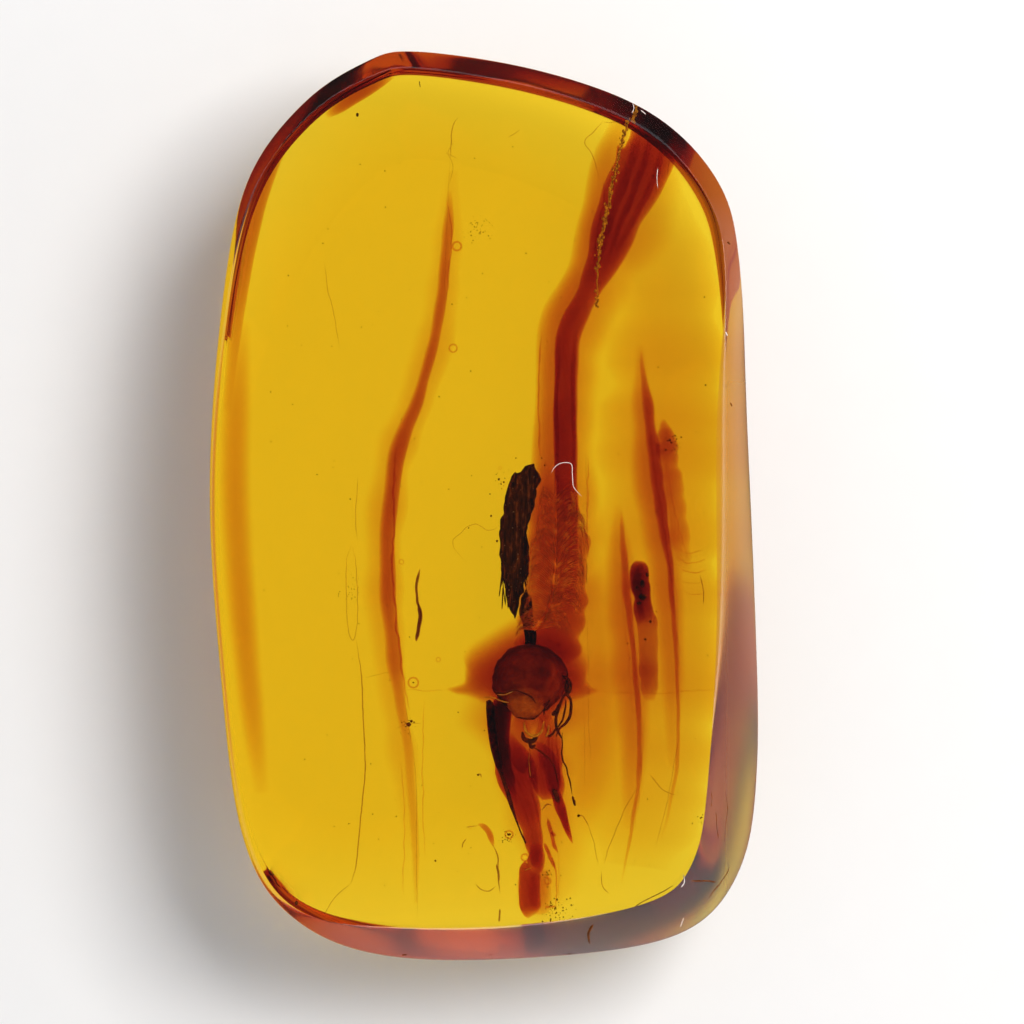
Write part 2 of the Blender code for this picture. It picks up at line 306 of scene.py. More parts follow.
def strand(points, radius, count=24, sides=5, taper=0.25, drift=0.0, seed=1.0):
    """A closed thread through places (x, y, z), of one thickness apart from its thin ends."""
    stations = []
    for i, place in enumerate(open_curve(points, count)):
        end = min(i, count - 1 - i) / (count - 1)
        size = radius * min(1.0, 0.25 + end / taper)
        stations.append((*place, size, size))
    if drift:
        stations = wandering(stations, drift, 2.5, seed)
    return grown(rings_along(stations, sides))


def join(bm, other):
    """Adds one bmesh to another and drops it."""
    mesh = bpy.data.meshes.new("joining")
    other.to_mesh(mesh)
    other.free()
    bm.from_mesh(mesh)
    bpy.data.meshes.remove(mesh)


def joined(parts):
    """One bmesh of several."""
    bm = bmesh.new()
    for part in parts:
        join(bm, part)
    return bm


def piece(name, bm, finish, replaces=(), smooth=True):
    """Makes the bmesh an object of the model: it rides on the one body and hides the solids it replaces."""
    mesh = bpy.data.meshes.new(name)
    bm.to_mesh(mesh)
    bm.free()
    if smooth:
        mesh.shade_smooth()
    mesh.materials.append(finish.material)
    obj = bpy.data.objects.new(name, mesh)
    bpy.context.scene.collection.objects.link(obj)
    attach(obj, "root")
    if replaces:
        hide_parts(*replaces)
    triangles = sum(len(face.vertices) - 2 for face in mesh.polygons)
    print(f"{name}: {triangles} triangles")
    return obj


# %% [markdown]
# ## The amber itself
# The two halves of the solid model are one unbroken piece in reality, so one clear piece stands for
# both. Its form does half the work of its look. Light that comes straight up through the flat back
# stays bright yellow. Near the edge the under-bevel is steep enough to reflect that light inside the
# block instead, and after a long way through the resin it comes out deep red: that is the dark rim.
# So the block repeats the outline, the rounded edge and the under-bevel of the solid, with more rings.

# %% The amber's outline
LENGTH = 40.0
THICKNESS = 10.0
GIRTH_HEIGHT = 5.2
BACK_ROUNDNESS = 1.6
AROUND, EDGE_STEPS, BEVEL_STEPS = 240, 14, 3

# Corners of the outline: x, y; width, drop and roundness of the face's edge (1 is a straight chamfer,
# 2 an ellipse); width and slope in degrees of the under-bevel; width of the back's rounded edge.
OUTLINE = [
    (-3.1, 20.0, 0.80, 0.85, 1.05, 3.4, 30, 0.80), (2.4, 19.15, 0.85, 0.90, 1.05, 3.4, 30, 0.85),
    (7.3, 17.3, 0.80, 0.85, 1.05, 3.6, 30, 0.90), (10.3, 14.2, 0.80, 0.90, 1.05, 3.8, 30, 1.10),
    (11.2, 10.4, 0.65, 0.80, 1.10, 3.6, 30, 0.90), (11.6, 3.8, 1.50, 3.40, 1.70, 0.8, 14, 0.80),
    (11.95, -5.0, 1.80, 2.80, 1.30, 3.6, 24, 1.60), (12.05, -11.5, 2.25, 3.20, 1.05, 4.8, 25, 2.25),
    (11.3, -16.1, 2.20, 3.10, 1.05, 5.0, 25, 2.20), (8.6, -19.0, 2.00, 2.90, 1.05, 5.0, 25, 2.00),
    (2.2, -19.95, 1.65, 2.40, 1.15, 4.8, 26, 1.65), (-4.6, -19.85, 1.45, 2.10, 1.15, 4.6, 26, 1.45),
    (-8.6, -17.95, 0.35, 0.40, 1.10, 3.0, 28, 0.35), (-10.7, -14.4, 0.30, 0.35, 1.60, 0.3, 10, 0.06),
    (-11.6, -7.4, 0.25, 0.25, 1.80, 0.2, 10, 0.03), (-12.1, 0.6, 0.25, 0.25, 1.80, 0.2, 10, 0.03),
    (-11.6, 8.4, 0.30, 0.35, 1.30, 1.2, 20, 0.10), (-10.5, 14.2, 0.45, 0.50, 1.05, 3.2, 30, 0.45),
    (-8.0, 17.7, 0.60, 0.65, 1.05, 3.2, 30, 0.60), (-5.3, 19.5, 0.75, 0.80, 1.05, 3.2, 30, 0.75),
]


def inset(ring, widths):
    """The clockwise ring moved inwards by a width of its own at each point."""
    moved = []
    for i, (x, y) in enumerate(ring):
        along = Vector(ring[(i + 1) % len(ring)]) - Vector(ring[i - 1])
        inwards = Vector((along.y, -along.x)).normalized() * widths[i]
        moved.append((x + inwards.x, y + inwards.y))
    return moved


def between(ring_a, ring_b, shares):
    """A ring between two others, at a share of its own for each point."""
    return [(ax + (bx - ax) * share, ay + (by - ay) * share)
            for (ax, ay), (bx, by), share in zip(ring_a, ring_b, shares)]


def rounding(turn, roundness):
    """Outward and upward shares at a turn between 0 and 1 round a rounded edge."""
    angle = turn * math.pi / 2
    return math.sin(angle) ** (2 / roundness), max(math.cos(angle), 0.0) ** (2 / roundness)


corners = smoothed(closed_curve(OUTLINE, AROUND), 9)
rims, drops, roundnesses, bevels, slopes, feet = ([corner[n] for corner in corners] for n in range(2, 8))
left, right, low, high = (pick(corner[axis] for corner in corners) for axis in (0, 1) for pick in (min, max))
to_length = LENGTH / (high - low)
girth = [((corner[0] - (left + right) / 2) * to_length, (corner[1] - (low + high) / 2) * to_length)
         for corner in corners]
rim_line = smoothed(inset(girth, rims), 6)
foot_line = smoothed(inset(girth, feet), 6)
back_line = smoothed(inset(foot_line, bevels), 200)
ridges = [math.dist(a, b) * math.tan(math.radians(slope)) for a, b, slope in zip(foot_line, back_line, slopes)]
print(f"under-bevel up to {max(ridges):.1f} mm high")
print(f"outline {to_length * (right - left):.1f} x {LENGTH} mm")

# %% The amber's rings, from the back to the face
block_rings = []
for step in range(BEVEL_STEPS):
    share = step / BEVEL_STEPS
    block_rings.append([at(x, y, ridge * share) for (x, y), ridge in
                        zip(between(back_line, foot_line, [share] * AROUND), ridges)])
for step in range(EDGE_STEPS + 1):
    out, up = rounding(step / EDGE_STEPS, BACK_ROUNDNESS)
    block_rings.append([at(x, y, ridge + (GIRTH_HEIGHT - ridge) * (1 - up)) for (x, y), ridge in
                        zip(between(foot_line, girth, [out] * AROUND), ridges)])
for step in range(EDGE_STEPS, -1, -1):
    shares = [rounding(step / EDGE_STEPS, roundness) for roundness in roundnesses]
    ring = between(rim_line, girth, [out for out, up in shares])
    block_rings.append([at(x, y, THICKNESS - drop * (1 - up))
                        for (x, y), (out, up), drop in zip(ring, shares, drops)])
print(len(block_rings), "rings of", AROUND)

# %% [markdown]
# The clear finish is plain glass with amber's index of refraction, 1.54, and a medium that swallows
# blue fast, green slowly and red hardly at all. Ten millimetres of it are honey yellow and five
# centimetres are dark red, which is why one medium gives both the bright middle and the dark rims. A
# hand-polished face is never quite flat, so a faint, wide swell bends what is seen through it. The
# edges got less polish than the faces, above all the right and the lower one. There the surface is
# rougher, and dark and bright reflections from the depth blur into a milky mauve and tan.

# %% The amber's finish
AMBER_ABSORPTION = (12.0, 60.0, 500.0)     # per metre, for red, green and blue

amber = Finish("polished_amber", Base_Color=(1.0, 1.0, 1.0, 1.0), Roughness=0.0,
               Transmission_Weight=1.0, IOR=1.54)
amber.absorb(AMBER_ABSORPTION)
swell = amber.cloud(0.25, detail=1.0)
amber.bump(swell, 0.02)
block_place = amber.place()
x_place, y_place, z_place = (amber.node("ShaderNodeSeparateXYZ", {}, {"Vector": block_place}, output=axis)
                             for axis in "XYZ")
wall = amber.step(z_place, 3.0 * MM, 4.0 * MM)
rim = wall * (1 - amber.step(z_place, 9.86 * MM, 9.98 * MM))
right_ground = (wall * amber.step(x_place, 9.9 * MM, 10.7 * MM) * amber.step(y_place, -19.0 * MM, -16.0 * MM)
                * (1 - amber.step(y_place, 5.0 * MM, 9.5 * MM)))
low_ground = rim * (1 - amber.step(y_place, -18.4 * MM, -16.0 * MM))
under = (1 - wall) * amber.step(z_place, 0.10 * MM, 0.40 * MM)
near_corner = amber.step(x_place, 0.0, 2.5 * MM) * (1 - amber.step(y_place, -15.5 * MM, -13.5 * MM))
near_side = amber.step(x_place, 7.5 * MM, 8.5 * MM) * (1 - amber.step(y_place, -9.0 * MM, -5.0 * MM))
satin = under * (1 - (1 - near_corner) * (1 - near_side))
amber.feed(amber.shader.inputs["Roughness"],
           rim * 0.08 + right_ground * 0.20 + low_ground * 0.12 + satin * 0.17)

SHARP = math.radians(60)

block = grown(block_rings)
for face in block.faces:
    face.smooth = len(face.verts) == 4
for edge in block.edges:
    edge.smooth = edge.calc_face_angle() < SHARP and all(len(face.verts) == 4 for face in edge.link_faces)
amber_block = piece("amber_block", block, amber, ("amber_lower", "amber_upper"), smooth=False)


# %% [markdown]
# ## Red flow lines
# Resin ran down the bark in layers, and the skin of each layer darkened in the air before the next
# covered it. Those skins are now red streaks. Each is a closed ribbon with a medium of its own that
# adds to the amber's, and its index of refraction is 1, so that its surface bends nothing and can't be
# seen. Only its depth shows: where it is thick it is deep red, and towards a feathered edge it thins
# out through orange to nothing. The denser of the two media is for lines thinner than a hair, and for
# the insect's membranes later on. A renderer counts a medium once for each object that a ray is in, so
# ribbons that overlap are objects of their own, and their depths add up.

# %% The stains' finishes
STAIN_ABSORPTION = (400.0, 1360.0, 4000.0)     # per metre, for red, green and blue
SOAKED_ABSORPTION = (2600.0, 9500.0, 20000.0)

stain = Finish("darkened_resin_skin", Base_Color=(1.0, 1.0, 1.0, 1.0), Roughness=0.0,
               Transmission_Weight=1.0, IOR=1.0)
stain.absorb(STAIN_ABSORPTION)
soaked = Finish("soaked_membrane", Base_Color=(1.0, 1.0, 1.0, 1.0), Roughness=0.0,
                Transmission_Weight=1.0, IOR=1.0)
soaked.absorb(SOAKED_ABSORPTION)

# %% [markdown]
# The main streak starts as a wide wedge at the top edge, bends left below the long crack and runs
# down to the feather. It is as wide as the resin that ran there, and streaked along the way it ran,
# which narrower ribbons inside it give. The orange veil on its left is a second, thinner skin that
# follows it. Stations are listed from the top down: x, y, z, half the width and half the height.

# %% The main streak
main_streak = ribbon([
    (6.81, 16.87, 5.6, 0.44, 0.80), (7.03, 16.43, 5.6, 0.88, 1.25), (7.16, 15.86, 5.6, 1.32, 1.45),
    (6.85, 14.84, 5.3, 1.28, 1.45), (6.41, 13.96, 5.1, 1.19, 1.30), (5.88, 12.86, 5.0, 1.01, 1.25),
    (5.53, 11.76, 4.9, 0.88, 1.25), (5.18, 10.79, 4.8, 0.70, 1.20), (4.69, 9.78, 4.7, 0.57, 1.10),
    (4.21, 8.90, 4.7, 0.53, 1.05), (3.77, 7.88, 4.6, 0.53, 1.05), (3.59, 6.83, 4.6, 0.53, 1.15),
    (3.55, 4.71, 4.6, 0.53, 1.30), (3.55, 2.51, 4.5, 0.53, 1.40), (3.59, 0.09, 4.5, 0.53, 1.30),
    (3.59, -1.67, 4.5, 0.53, 0.90), (3.59, -3.66, 4.5, 0.44, 0.35), (3.59, -4.98, 4.5, 0.26, 0.06)],
    count=110, sides=24, pinch=(0.9, 1.0), drift=0.05, seed=3.0)
main_halo = ribbon([
    (6.19, 17.14, 5.6, 0.57, 0.10), (5.57, 15.73, 5.4, 0.75, 0.34), (5.26, 14.40, 5.2, 0.79, 0.44),
    (4.96, 12.86, 5.0, 0.79, 0.46), (4.65, 11.54, 4.9, 0.79, 0.46), (4.29, 10.44, 4.8, 0.79, 0.46),
    (3.81, 9.47, 4.7, 0.79, 0.46), (3.28, 8.50, 4.6, 0.79, 0.46), (2.97, 7.36, 4.5, 0.75, 0.46),
    (2.84, 5.59, 4.5, 0.70, 0.46), (2.80, 3.39, 4.5, 0.70, 0.50), (2.71, 1.19, 4.5, 0.75, 0.55),
    (2.58, -1.01, 4.5, 0.79, 0.55), (2.53, -3.66, 4.5, 0.62, 0.25)],
    count=90, pinch=(1.8, 2.5), drift=0.05, seed=8.0)
warm_rim = ribbon([
    (7.07, 16.25, 5.4, 0.62, 0.03), (7.25, 15.37, 5.4, 1.50, 0.12), (6.72, 13.52, 5.2, 2.03, 0.20),
    (5.57, 11.10, 5.0, 1.67, 0.24), (4.52, 8.90, 4.8, 1.50, 0.26), (3.81, 6.48, 4.6, 1.32, 0.28),
    (3.63, 2.51, 4.5, 1.32, 0.30), (3.55, -1.45, 4.5, 1.59, 0.30), (3.37, -4.98, 4.5, 1.59, 0.20),
    (3.28, -6.74, 4.5, 0.88, 0.05)], count=90, pinch=(3.0, 3.0), drift=0.08, seed=9.0)
wedge_streaks = [ribbon([(*head, 5.6, width, 0.05), (*upper, 5.5, width * 1.4, depth),
                         (*lower, 5.1, width * 1.2, depth), (*foot, 4.8, width, 0.05)],
                        count=40, sides=12, pinch=(1.4, 0.8), drift=0.06, per_mm=1.1, seed=seed)
                 for head, upper, lower, foot, width, depth, seed in [
                     ((6.81, 16.69), (6.37, 15.07), (5.48, 12.64), (4.96, 10.79), 0.18, 0.50, 1.0),
                     ((7.33, 16.52), (7.03, 15.29), (6.01, 12.64), (5.22, 10.62), 0.13, 0.45, 2.0),
                     ((7.86, 16.17), (7.55, 14.84), (6.59, 12.82), (5.48, 10.79), 0.13, 0.40, 3.0),
                     ((3.99, 7.80), (3.85, 5.59), (3.90, 2.95), (3.94, 0.31), 0.09, 0.50, 4.0),
                     ((3.24, 7.71), (3.15, 5.59), (3.15, 2.95), (3.19, -0.57), 0.09, 0.60, 5.0)]]
piece("main_flow_streak", main_streak, stain)
piece("main_flow_halo", main_halo, stain)
piece("main_flow_warm_rim", warm_rim, stain)
piece("main_flow_grain", joined(wedge_streaks), stain)

# %% The left band
left_band = ribbon([
    (-1.61, 13.96, 5.6, 0.13, 0.05), (-1.65, 12.64, 5.6, 0.22, 0.32), (-1.74, 11.32, 5.6, 0.26, 0.48),
    (-1.87, 10.00, 5.6, 0.26, 0.54), (-2.09, 8.46, 5.6, 0.26, 0.54), (-2.36, 7.14, 5.5, 0.26, 0.56),
    (-2.67, 5.86, 5.5, 0.26, 0.60), (-3.11, 4.49, 5.5, 0.31, 0.64), (-3.63, 3.30, 5.4, 0.35, 0.66),
    (-3.99, 2.07, 5.4, 0.35, 0.66), (-4.21, 0.53, 5.4, 0.35, 0.66), (-4.34, -1.01, 5.3, 0.35, 0.62),
    (-4.38, -2.78, 5.3, 0.35, 0.58), (-4.29, -4.54, 5.3, 0.35, 0.52), (-4.12, -6.30, 5.3, 0.35, 0.46),
    (-3.90, -8.06, 5.3, 0.31, 0.38), (-3.63, -9.60, 5.3, 0.26, 0.26), (-3.41, -11.14, 5.3, 0.22, 0.16),
    (-3.24, -13.35, 5.3, 0.22, 0.14), (-3.11, -15.55, 5.3, 0.18, 0.12), (-3.06, -17.53, 5.3, 0.09, 0.04)],
    count=110, pinch=(2.4, 0.8), drift=0.06, seed=12.0)
left_halo = ribbon([
    (-1.48, 14.84, 5.4, 0.26, 0.03), (-1.74, 11.32, 5.4, 0.75, 0.10), (-2.18, 7.80, 5.4, 0.79, 0.13),
    (-3.15, 4.71, 5.3, 0.84, 0.15), (-4.12, 2.07, 5.2, 0.97, 0.17), (-4.56, -1.45, 5.2, 0.97, 0.18),
    (-4.47, -4.98, 5.2, 0.93, 0.16), (-4.12, -8.50, 5.2, 0.79, 0.12), (-3.59, -12.03, 5.2, 0.62, 0.07),
    (-3.33, -15.11, 5.2, 0.26, 0.02)], count=70, pinch=(3.0, 1.6), drift=0.08, seed=14.0)
piece("left_flow_band", left_band, stain)
piece("left_flow_halo", left_halo, stain)

# %% [markdown]
# Two more streaks run down the right of the piece, one through a darker blot and one past the leaf.
# Their crisp side is the right one, where the skin stood up against the next flow. All the resin on
# that side is a shade more orange, so one wide and very thin veil lies under both.

# %% The two right streaks
right_streak = ribbon([
    (6.89, 6.92, 6.2, 0.04, 0.05), (6.98, 5.95, 6.2, 0.13, 0.30), (7.11, 4.93, 6.1, 0.22, 0.55),
    (7.25, 3.83, 6.0, 0.26, 0.70), (7.42, 2.51, 6.0, 0.31, 0.80), (7.60, 0.97, 5.9, 0.31, 0.80),
    (7.82, -0.79, 5.9, 0.26, 0.75), (8.04, -2.11, 5.8, 0.18, 0.65), (8.22, -3.66, 5.8, 0.13, 0.55),
    (8.39, -5.86, 5.7, 0.13, 0.45), (8.48, -8.06, 5.7, 0.09, 0.36), (8.52, -10.26, 5.7, 0.09, 0.28),
    (8.30, -12.47, 5.6, 0.09, 0.16), (7.77, -14.67, 5.5, 0.04, 0.03)],
    count=90, pinch=(1.8, 0.8), drift=0.06, per_mm=1.0, seed=21.0)
right_halo = ribbon([
    (6.81, 7.14, 6.2, 0.22, 0.03), (6.89, 5.37, 6.1, 0.48, 0.24), (7.03, 3.61, 6.0, 0.66, 0.34),
    (7.29, 1.63, 6.0, 0.88, 0.42), (7.60, -0.35, 5.9, 0.97, 0.44), (7.91, -2.33, 5.8, 0.93, 0.40),
    (8.08, -4.54, 5.8, 0.79, 0.34), (8.22, -7.18, 5.7, 0.62, 0.24), (8.26, -9.38, 5.7, 0.44, 0.14),
    (8.26, -11.59, 5.7, 0.18, 0.03)], count=60, drift=0.05, seed=24.0)
right_blot = ribbon([
    (7.82, 3.92, 6.4, 0.09, 0.04), (7.91, 3.39, 6.4, 0.31, 0.60), (8.00, 2.78, 6.4, 0.44, 0.75),
    (8.13, 1.85, 6.4, 0.44, 0.55), (8.30, 0.75, 6.4, 0.48, 0.45), (8.48, -0.57, 6.3, 0.44, 0.36),
    (8.66, -1.81, 6.3, 0.40, 0.22), (8.92, -2.86, 6.3, 0.22, 0.04)],
    count=50, pinch=(1.4, 1.4), drift=0.10, per_mm=1.8, seed=27.0)
leaf_streak = ribbon([
    (5.97, -0.13, 5.4, 0.04, 0.03), (6.06, -1.23, 5.4, 0.13, 0.34), (6.14, -2.55, 5.4, 0.18, 0.48),
    (6.28, -4.10, 5.4, 0.18, 0.50), (6.50, -6.08, 5.4, 0.13, 0.48), (6.67, -8.06, 5.4, 0.13, 0.44),
    (6.81, -9.82, 5.4, 0.13, 0.40), (6.81, -11.36, 5.4, 0.13, 0.36), (6.63, -13.13, 5.4, 0.09, 0.30),
    (6.37, -14.67, 5.4, 0.09, 0.22), (6.01, -16.61, 5.4, 0.04, 0.03)],
    count=80, pinch=(1.8, 0.8), drift=0.06, per_mm=1.0, seed=31.0)
leaf_halo = ribbon([
    (5.84, 0.09, 5.4, 0.22, 0.03), (5.97, -2.33, 5.4, 0.70, 0.30), (6.19, -4.98, 5.4, 0.93, 0.38),
    (6.45, -7.62, 5.4, 0.93, 0.36), (6.54, -9.82, 5.4, 0.79, 0.30), (6.50, -12.03, 5.4, 0.62, 0.18),
    (6.28, -14.23, 5.4, 0.26, 0.03)], count=60, drift=0.05, seed=35.0)
right_veil = ribbon([
    (7.86, 14.84, 4.2, 0.62, 0.02), (8.04, 10.88, 4.2, 1.94, 0.10), (8.04, 6.48, 4.2, 2.47, 0.17),
    (7.77, 1.63, 4.2, 2.91, 0.20), (7.51, -4.10, 4.2, 3.08, 0.20), (7.16, -9.38, 4.2, 3.08, 0.18),
    (6.81, -12.91, 4.2, 2.91, 0.12), (6.63, -15.99, 4.2, 1.76, 0.03)], count=60, sides=28,
    pinch=(1.6, 1.0), drift=0.10, seed=38.0)
piece("right_flow_streaks", joined([right_streak, leaf_streak]), stain)
piece("right_flow_halos", joined([right_halo, leaf_halo]), stain)
piece("right_flow_blot", right_blot, stain)
piece("right_flow_veil", right_veil, stain)

# %% [markdown]
# Round the insect the resin is stained too, by what seeped from it. One wide, very thin veil tints
# everything on its right, a soft halo lies round body and wings, a star-shaped stain with two long
# points surrounds the thorax, and a deep red one fills the space under the feather.

# %% The stain round the insect
body_veil = ribbon([
    (4.69, 1.63, 4.0, 0.26, 0.02), (4.69, -2.33, 4.0, 0.88, 0.12), (4.60, -5.86, 4.0, 1.41, 0.20),
    (4.52, -8.94, 4.0, 1.67, 0.22), (4.07, -12.03, 4.0, 1.67, 0.18), (3.28, -14.67, 4.0, 1.59, 0.13),
    (2.75, -17.09, 4.0, 1.23, 0.07), (2.62, -18.41, 4.0, 0.53, 0.02)], count=60, drift=0.08, seed=41.0)
body_star = ribbon([
    (-1.74, -8.06, 5.0, 0.09, 0.03), (-1.30, -8.11, 5.0, 0.22, 0.34), (-0.86, -8.06, 5.0, 0.40, 0.46),
    (-0.46, -7.88, 5.0, 1.06, 0.75), (0.02, -7.62, 5.0, 1.94, 1.15), (0.81, -7.49, 5.0, 2.55, 1.50),
    (1.70, -7.44, 5.0, 2.82, 1.60), (2.58, -7.49, 5.0, 2.73, 1.60), (3.28, -7.62, 5.0, 2.38, 1.45),
    (3.85, -7.84, 5.0, 1.67, 1.05), (4.25, -8.06, 5.0, 0.75, 0.60), (4.65, -8.15, 5.0, 0.26, 0.36),
    (5.04, -8.15, 5.0, 0.09, 0.03)], count=70, sides=32, pinch=(4.0, 3.4), drift=0.06, seed=45.0)
wing_halo = ribbon([
    (1.70, -5.86, 4.8, 1.32, 0.05), (1.70, -7.62, 4.8, 2.73, 0.30), (1.78, -9.16, 4.8, 2.82, 0.40),
    (1.96, -10.70, 4.8, 2.47, 0.42), (2.14, -12.25, 4.8, 2.03, 0.32), (2.31, -13.79, 4.8, 1.59, 0.18),
    (2.40, -15.55, 4.8, 1.23, 0.12), (2.31, -17.31, 4.8, 0.97, 0.06), (2.22, -18.28, 4.8, 0.35, 0.02)],
    count=60, sides=28, pinch=(3.4, 3.0), drift=0.08, seed=47.0)
feather_stain = ribbon([
    (2.75, 1.98, 4.4, 0.44, 0.04), (2.80, 0.53, 4.4, 1.06, 0.34), (2.89, -0.79, 4.4, 1.45, 0.56),
    (2.93, -1.89, 4.4, 1.67, 0.72), (2.93, -3.22, 4.4, 1.67, 0.84), (2.89, -4.54, 4.4, 1.59, 0.90),
    (2.84, -5.64, 4.4, 1.45, 0.90), (2.71, -6.52, 4.4, 1.28, 0.60), (2.67, -7.18, 4.4, 0.97, 0.06)],
    count=60, sides=28, pinch=(1.6, 0.7), drift=0.06, per_mm=1.2, seed=49.0)
piece("body_stain_veil", body_veil, stain)
piece("body_stain_star", body_star, stain)
piece("body_stain_halo", wing_halo, stain)
piece("feather_stain", feather_stain, stain)

# %% [markdown]
# The outermost resin has darkened too, most of all at the upper left, where less of it was ground off.
# Three ribbons under the rim give that rind: a long orange one down the left side, a purple brown patch
# on it, and a dark red one with a crisp lower edge at the corner.

# %% The rind
left_rind = ribbon([
    (-8.79, 16.17, 5.2, 0.18, 0.04), (-9.36, 15.33, 5.2, 0.31, 0.40), (-9.85, 14.10, 5.2, 0.35, 0.50),
    (-10.24, 12.69, 5.2, 0.35, 0.50), (-10.59, 11.01, 5.2, 0.35, 0.46), (-10.95, 8.81, 5.2, 0.31, 0.32),
    (-11.25, 6.48, 5.2, 0.26, 0.14), (-11.48, 4.27, 5.2, 0.18, 0.03)], count=70, pinch=(1.0, 0.8), drift=0.01,
    seed=90.0)
ochre_rind = ribbon([
    (-10.73, 8.24, 4.6, 0.31, 0.03), (-11.03, 4.93, 4.6, 0.70, 0.22), (-11.12, 1.19, 4.6, 0.75, 0.26),
    (-10.95, -2.33, 4.6, 0.75, 0.26), (-10.68, -5.86, 4.6, 0.70, 0.26), (-10.33, -9.38, 4.6, 0.62, 0.20),
    (-9.93, -12.69, 4.6, 0.35, 0.03)], count=60, pinch=(3.0, 3.0), drift=0.01, seed=96.0)
purple_rind = ribbon([
    (-9.49, 15.37, 7.4, 0.09, 0.04), (-9.76, 14.93, 7.4, 0.18, 0.50), (-10.07, 14.36, 7.4, 0.18, 0.60),
    (-10.29, 13.66, 7.4, 0.13, 0.45), (-10.46, 12.99, 7.4, 0.04, 0.04)], count=30, drift=0.01, seed=92.0)
corner_rind = ribbon([
    (-7.03, 17.31, 5.6, 0.13, 0.06), (-6.50, 17.66, 5.6, 0.26, 0.60), (-5.88, 18.10, 5.6, 0.31, 0.80),
    (-5.22, 18.50, 5.6, 0.31, 0.80), (-4.60, 18.81, 5.6, 0.22, 0.55), (-4.07, 19.07, 5.6, 0.09, 0.05)],
    count=40, pinch=(0.8, 0.8), drift=0.01, seed=94.0)
piece("rind_ochre", ochre_rind, stain)
piece("rind_left", left_rind, stain)
piece("rind_corner", joined([purple_rind, corner_rind]), stain)

# %% [markdown]
# ## The insect
# Only the front of the insect is whole: a dark, domed thorax with a paler lobe below it. Wings,
# abdomen and legs trail down the page and are soaked with dark resin, so one looks through them. The
# dome is a sphere pressed to the size of the solid and roughened with noise, because it is chitin
# that has dried and wrinkled. Its tone depends on the distance from three places: deep red brown
# round the middle, a tan crescent on its lower right, and a tan lobe.

# %% Chitin
THORAX_CENTRE, THORAX_HALF = (1.96, -7.62, 4.95), (1.64, 1.55, 1.38)
LOBE_CENTRE, LOBE_HALF = (1.78, -8.72, 5.75), (0.80, 0.66, 0.62)
DARK_MIDDLE, CRESCENT = at(1.61, -7.09, 6.1), at(3.11, -7.71, 5.6)


def far(finish, place, near_mm, far_mm):
    """0 within near_mm of a place and 1 beyond far_mm."""
    away = finish.node("ShaderNodeVectorMath", {"operation": 'DISTANCE'},
                       {0: finish.place(), 1: place}, output="Value")
    return finish.step(away, near_mm * MM, far_mm * MM)


chitin = Finish("brown_chitin", Roughness=0.6, Specular_IOR_Level=0.1)
blots = chitin.cloud(1.8, detail=6.0)
grain = chitin.cloud(9.0, detail=3.0)
shell_tone = chitin.ramp(blots, [(0.32, (0.16, 0.010, 0.004)), (0.52, (0.27, 0.018, 0.006)),
                                 (0.70, (0.38, 0.040, 0.012))])
tan_tone = chitin.ramp(blots, [(0.30, (0.40, 0.050, 0.015)), (0.55, (0.62, 0.13, 0.04)),
                               (0.75, (0.80, 0.22, 0.08))])
crescent = far(chitin, DARK_MIDDLE, 1.15, 1.45) * (1 - far(chitin, CRESCENT, 0.55, 1.25))
lobe = 1 - far(chitin, at(*LOBE_CENTRE), 0.75, 0.95)
shell_tone = chitin.mix(crescent, shell_tone, tan_tone)
shell_tone = chitin.mix(lobe * 0.85, shell_tone, tan_tone)
chitin.colour(chitin.mix(grain * 0.35, shell_tone, (0.05, 0.008, 0.004)))
chitin.bump(blots * 0.7 + grain * 0.3, 0.14)


def lump(centre, half_sizes, roughness_mm=0.05, per_mm=1.2, level=5, seed=0.0, turn=0.0):
    """A sphere pressed to three half-sizes, turned about z and roughened with noise."""
    bm = bmesh.new()
    bmesh.ops.create_icosphere(bm, subdivisions=level, radius=1.0)
    for vert in bm.verts:
        out = vert.co.normalized()
        place = Vector(a * b for a, b in zip(out, half_sizes))
        rough = noise.fractal(place * per_mm + Vector((seed, seed, seed)), 0.9, 2.0, 4)
        vert.co = place + out * rough * roughness_mm
    bmesh.ops.rotate(bm, verts=bm.verts, matrix=Matrix.Rotation(math.radians(turn), 3, 'Z'))
    bmesh.ops.translate(bm, verts=bm.verts, vec=Vector(centre))
    bmesh.ops.scale(bm, verts=bm.verts, vec=(MM, MM, MM))
    return bm


thorax = joined([lump(THORAX_CENTRE, THORAX_HALF, 0.12, 1.2, 6, 3.0),
                 lump(LOBE_CENTRE, LOBE_HALF, 0.06, 2.0, 5, 9.0)])
piece("insect_thorax", thorax, chitin, ("insect",))

# %% [markdown]
# Wings and abdomen are thin, soaked membranes. They are made as the flow lines are, in the denser
# medium, so that a fold or an overlap of two of them reads darker, as it does in the real one. The
# left wing is folded thick at its front and thins out along the page. The abdomen is a pale sac with
# a dark outline, and the tail ends in a blunt, red segment.

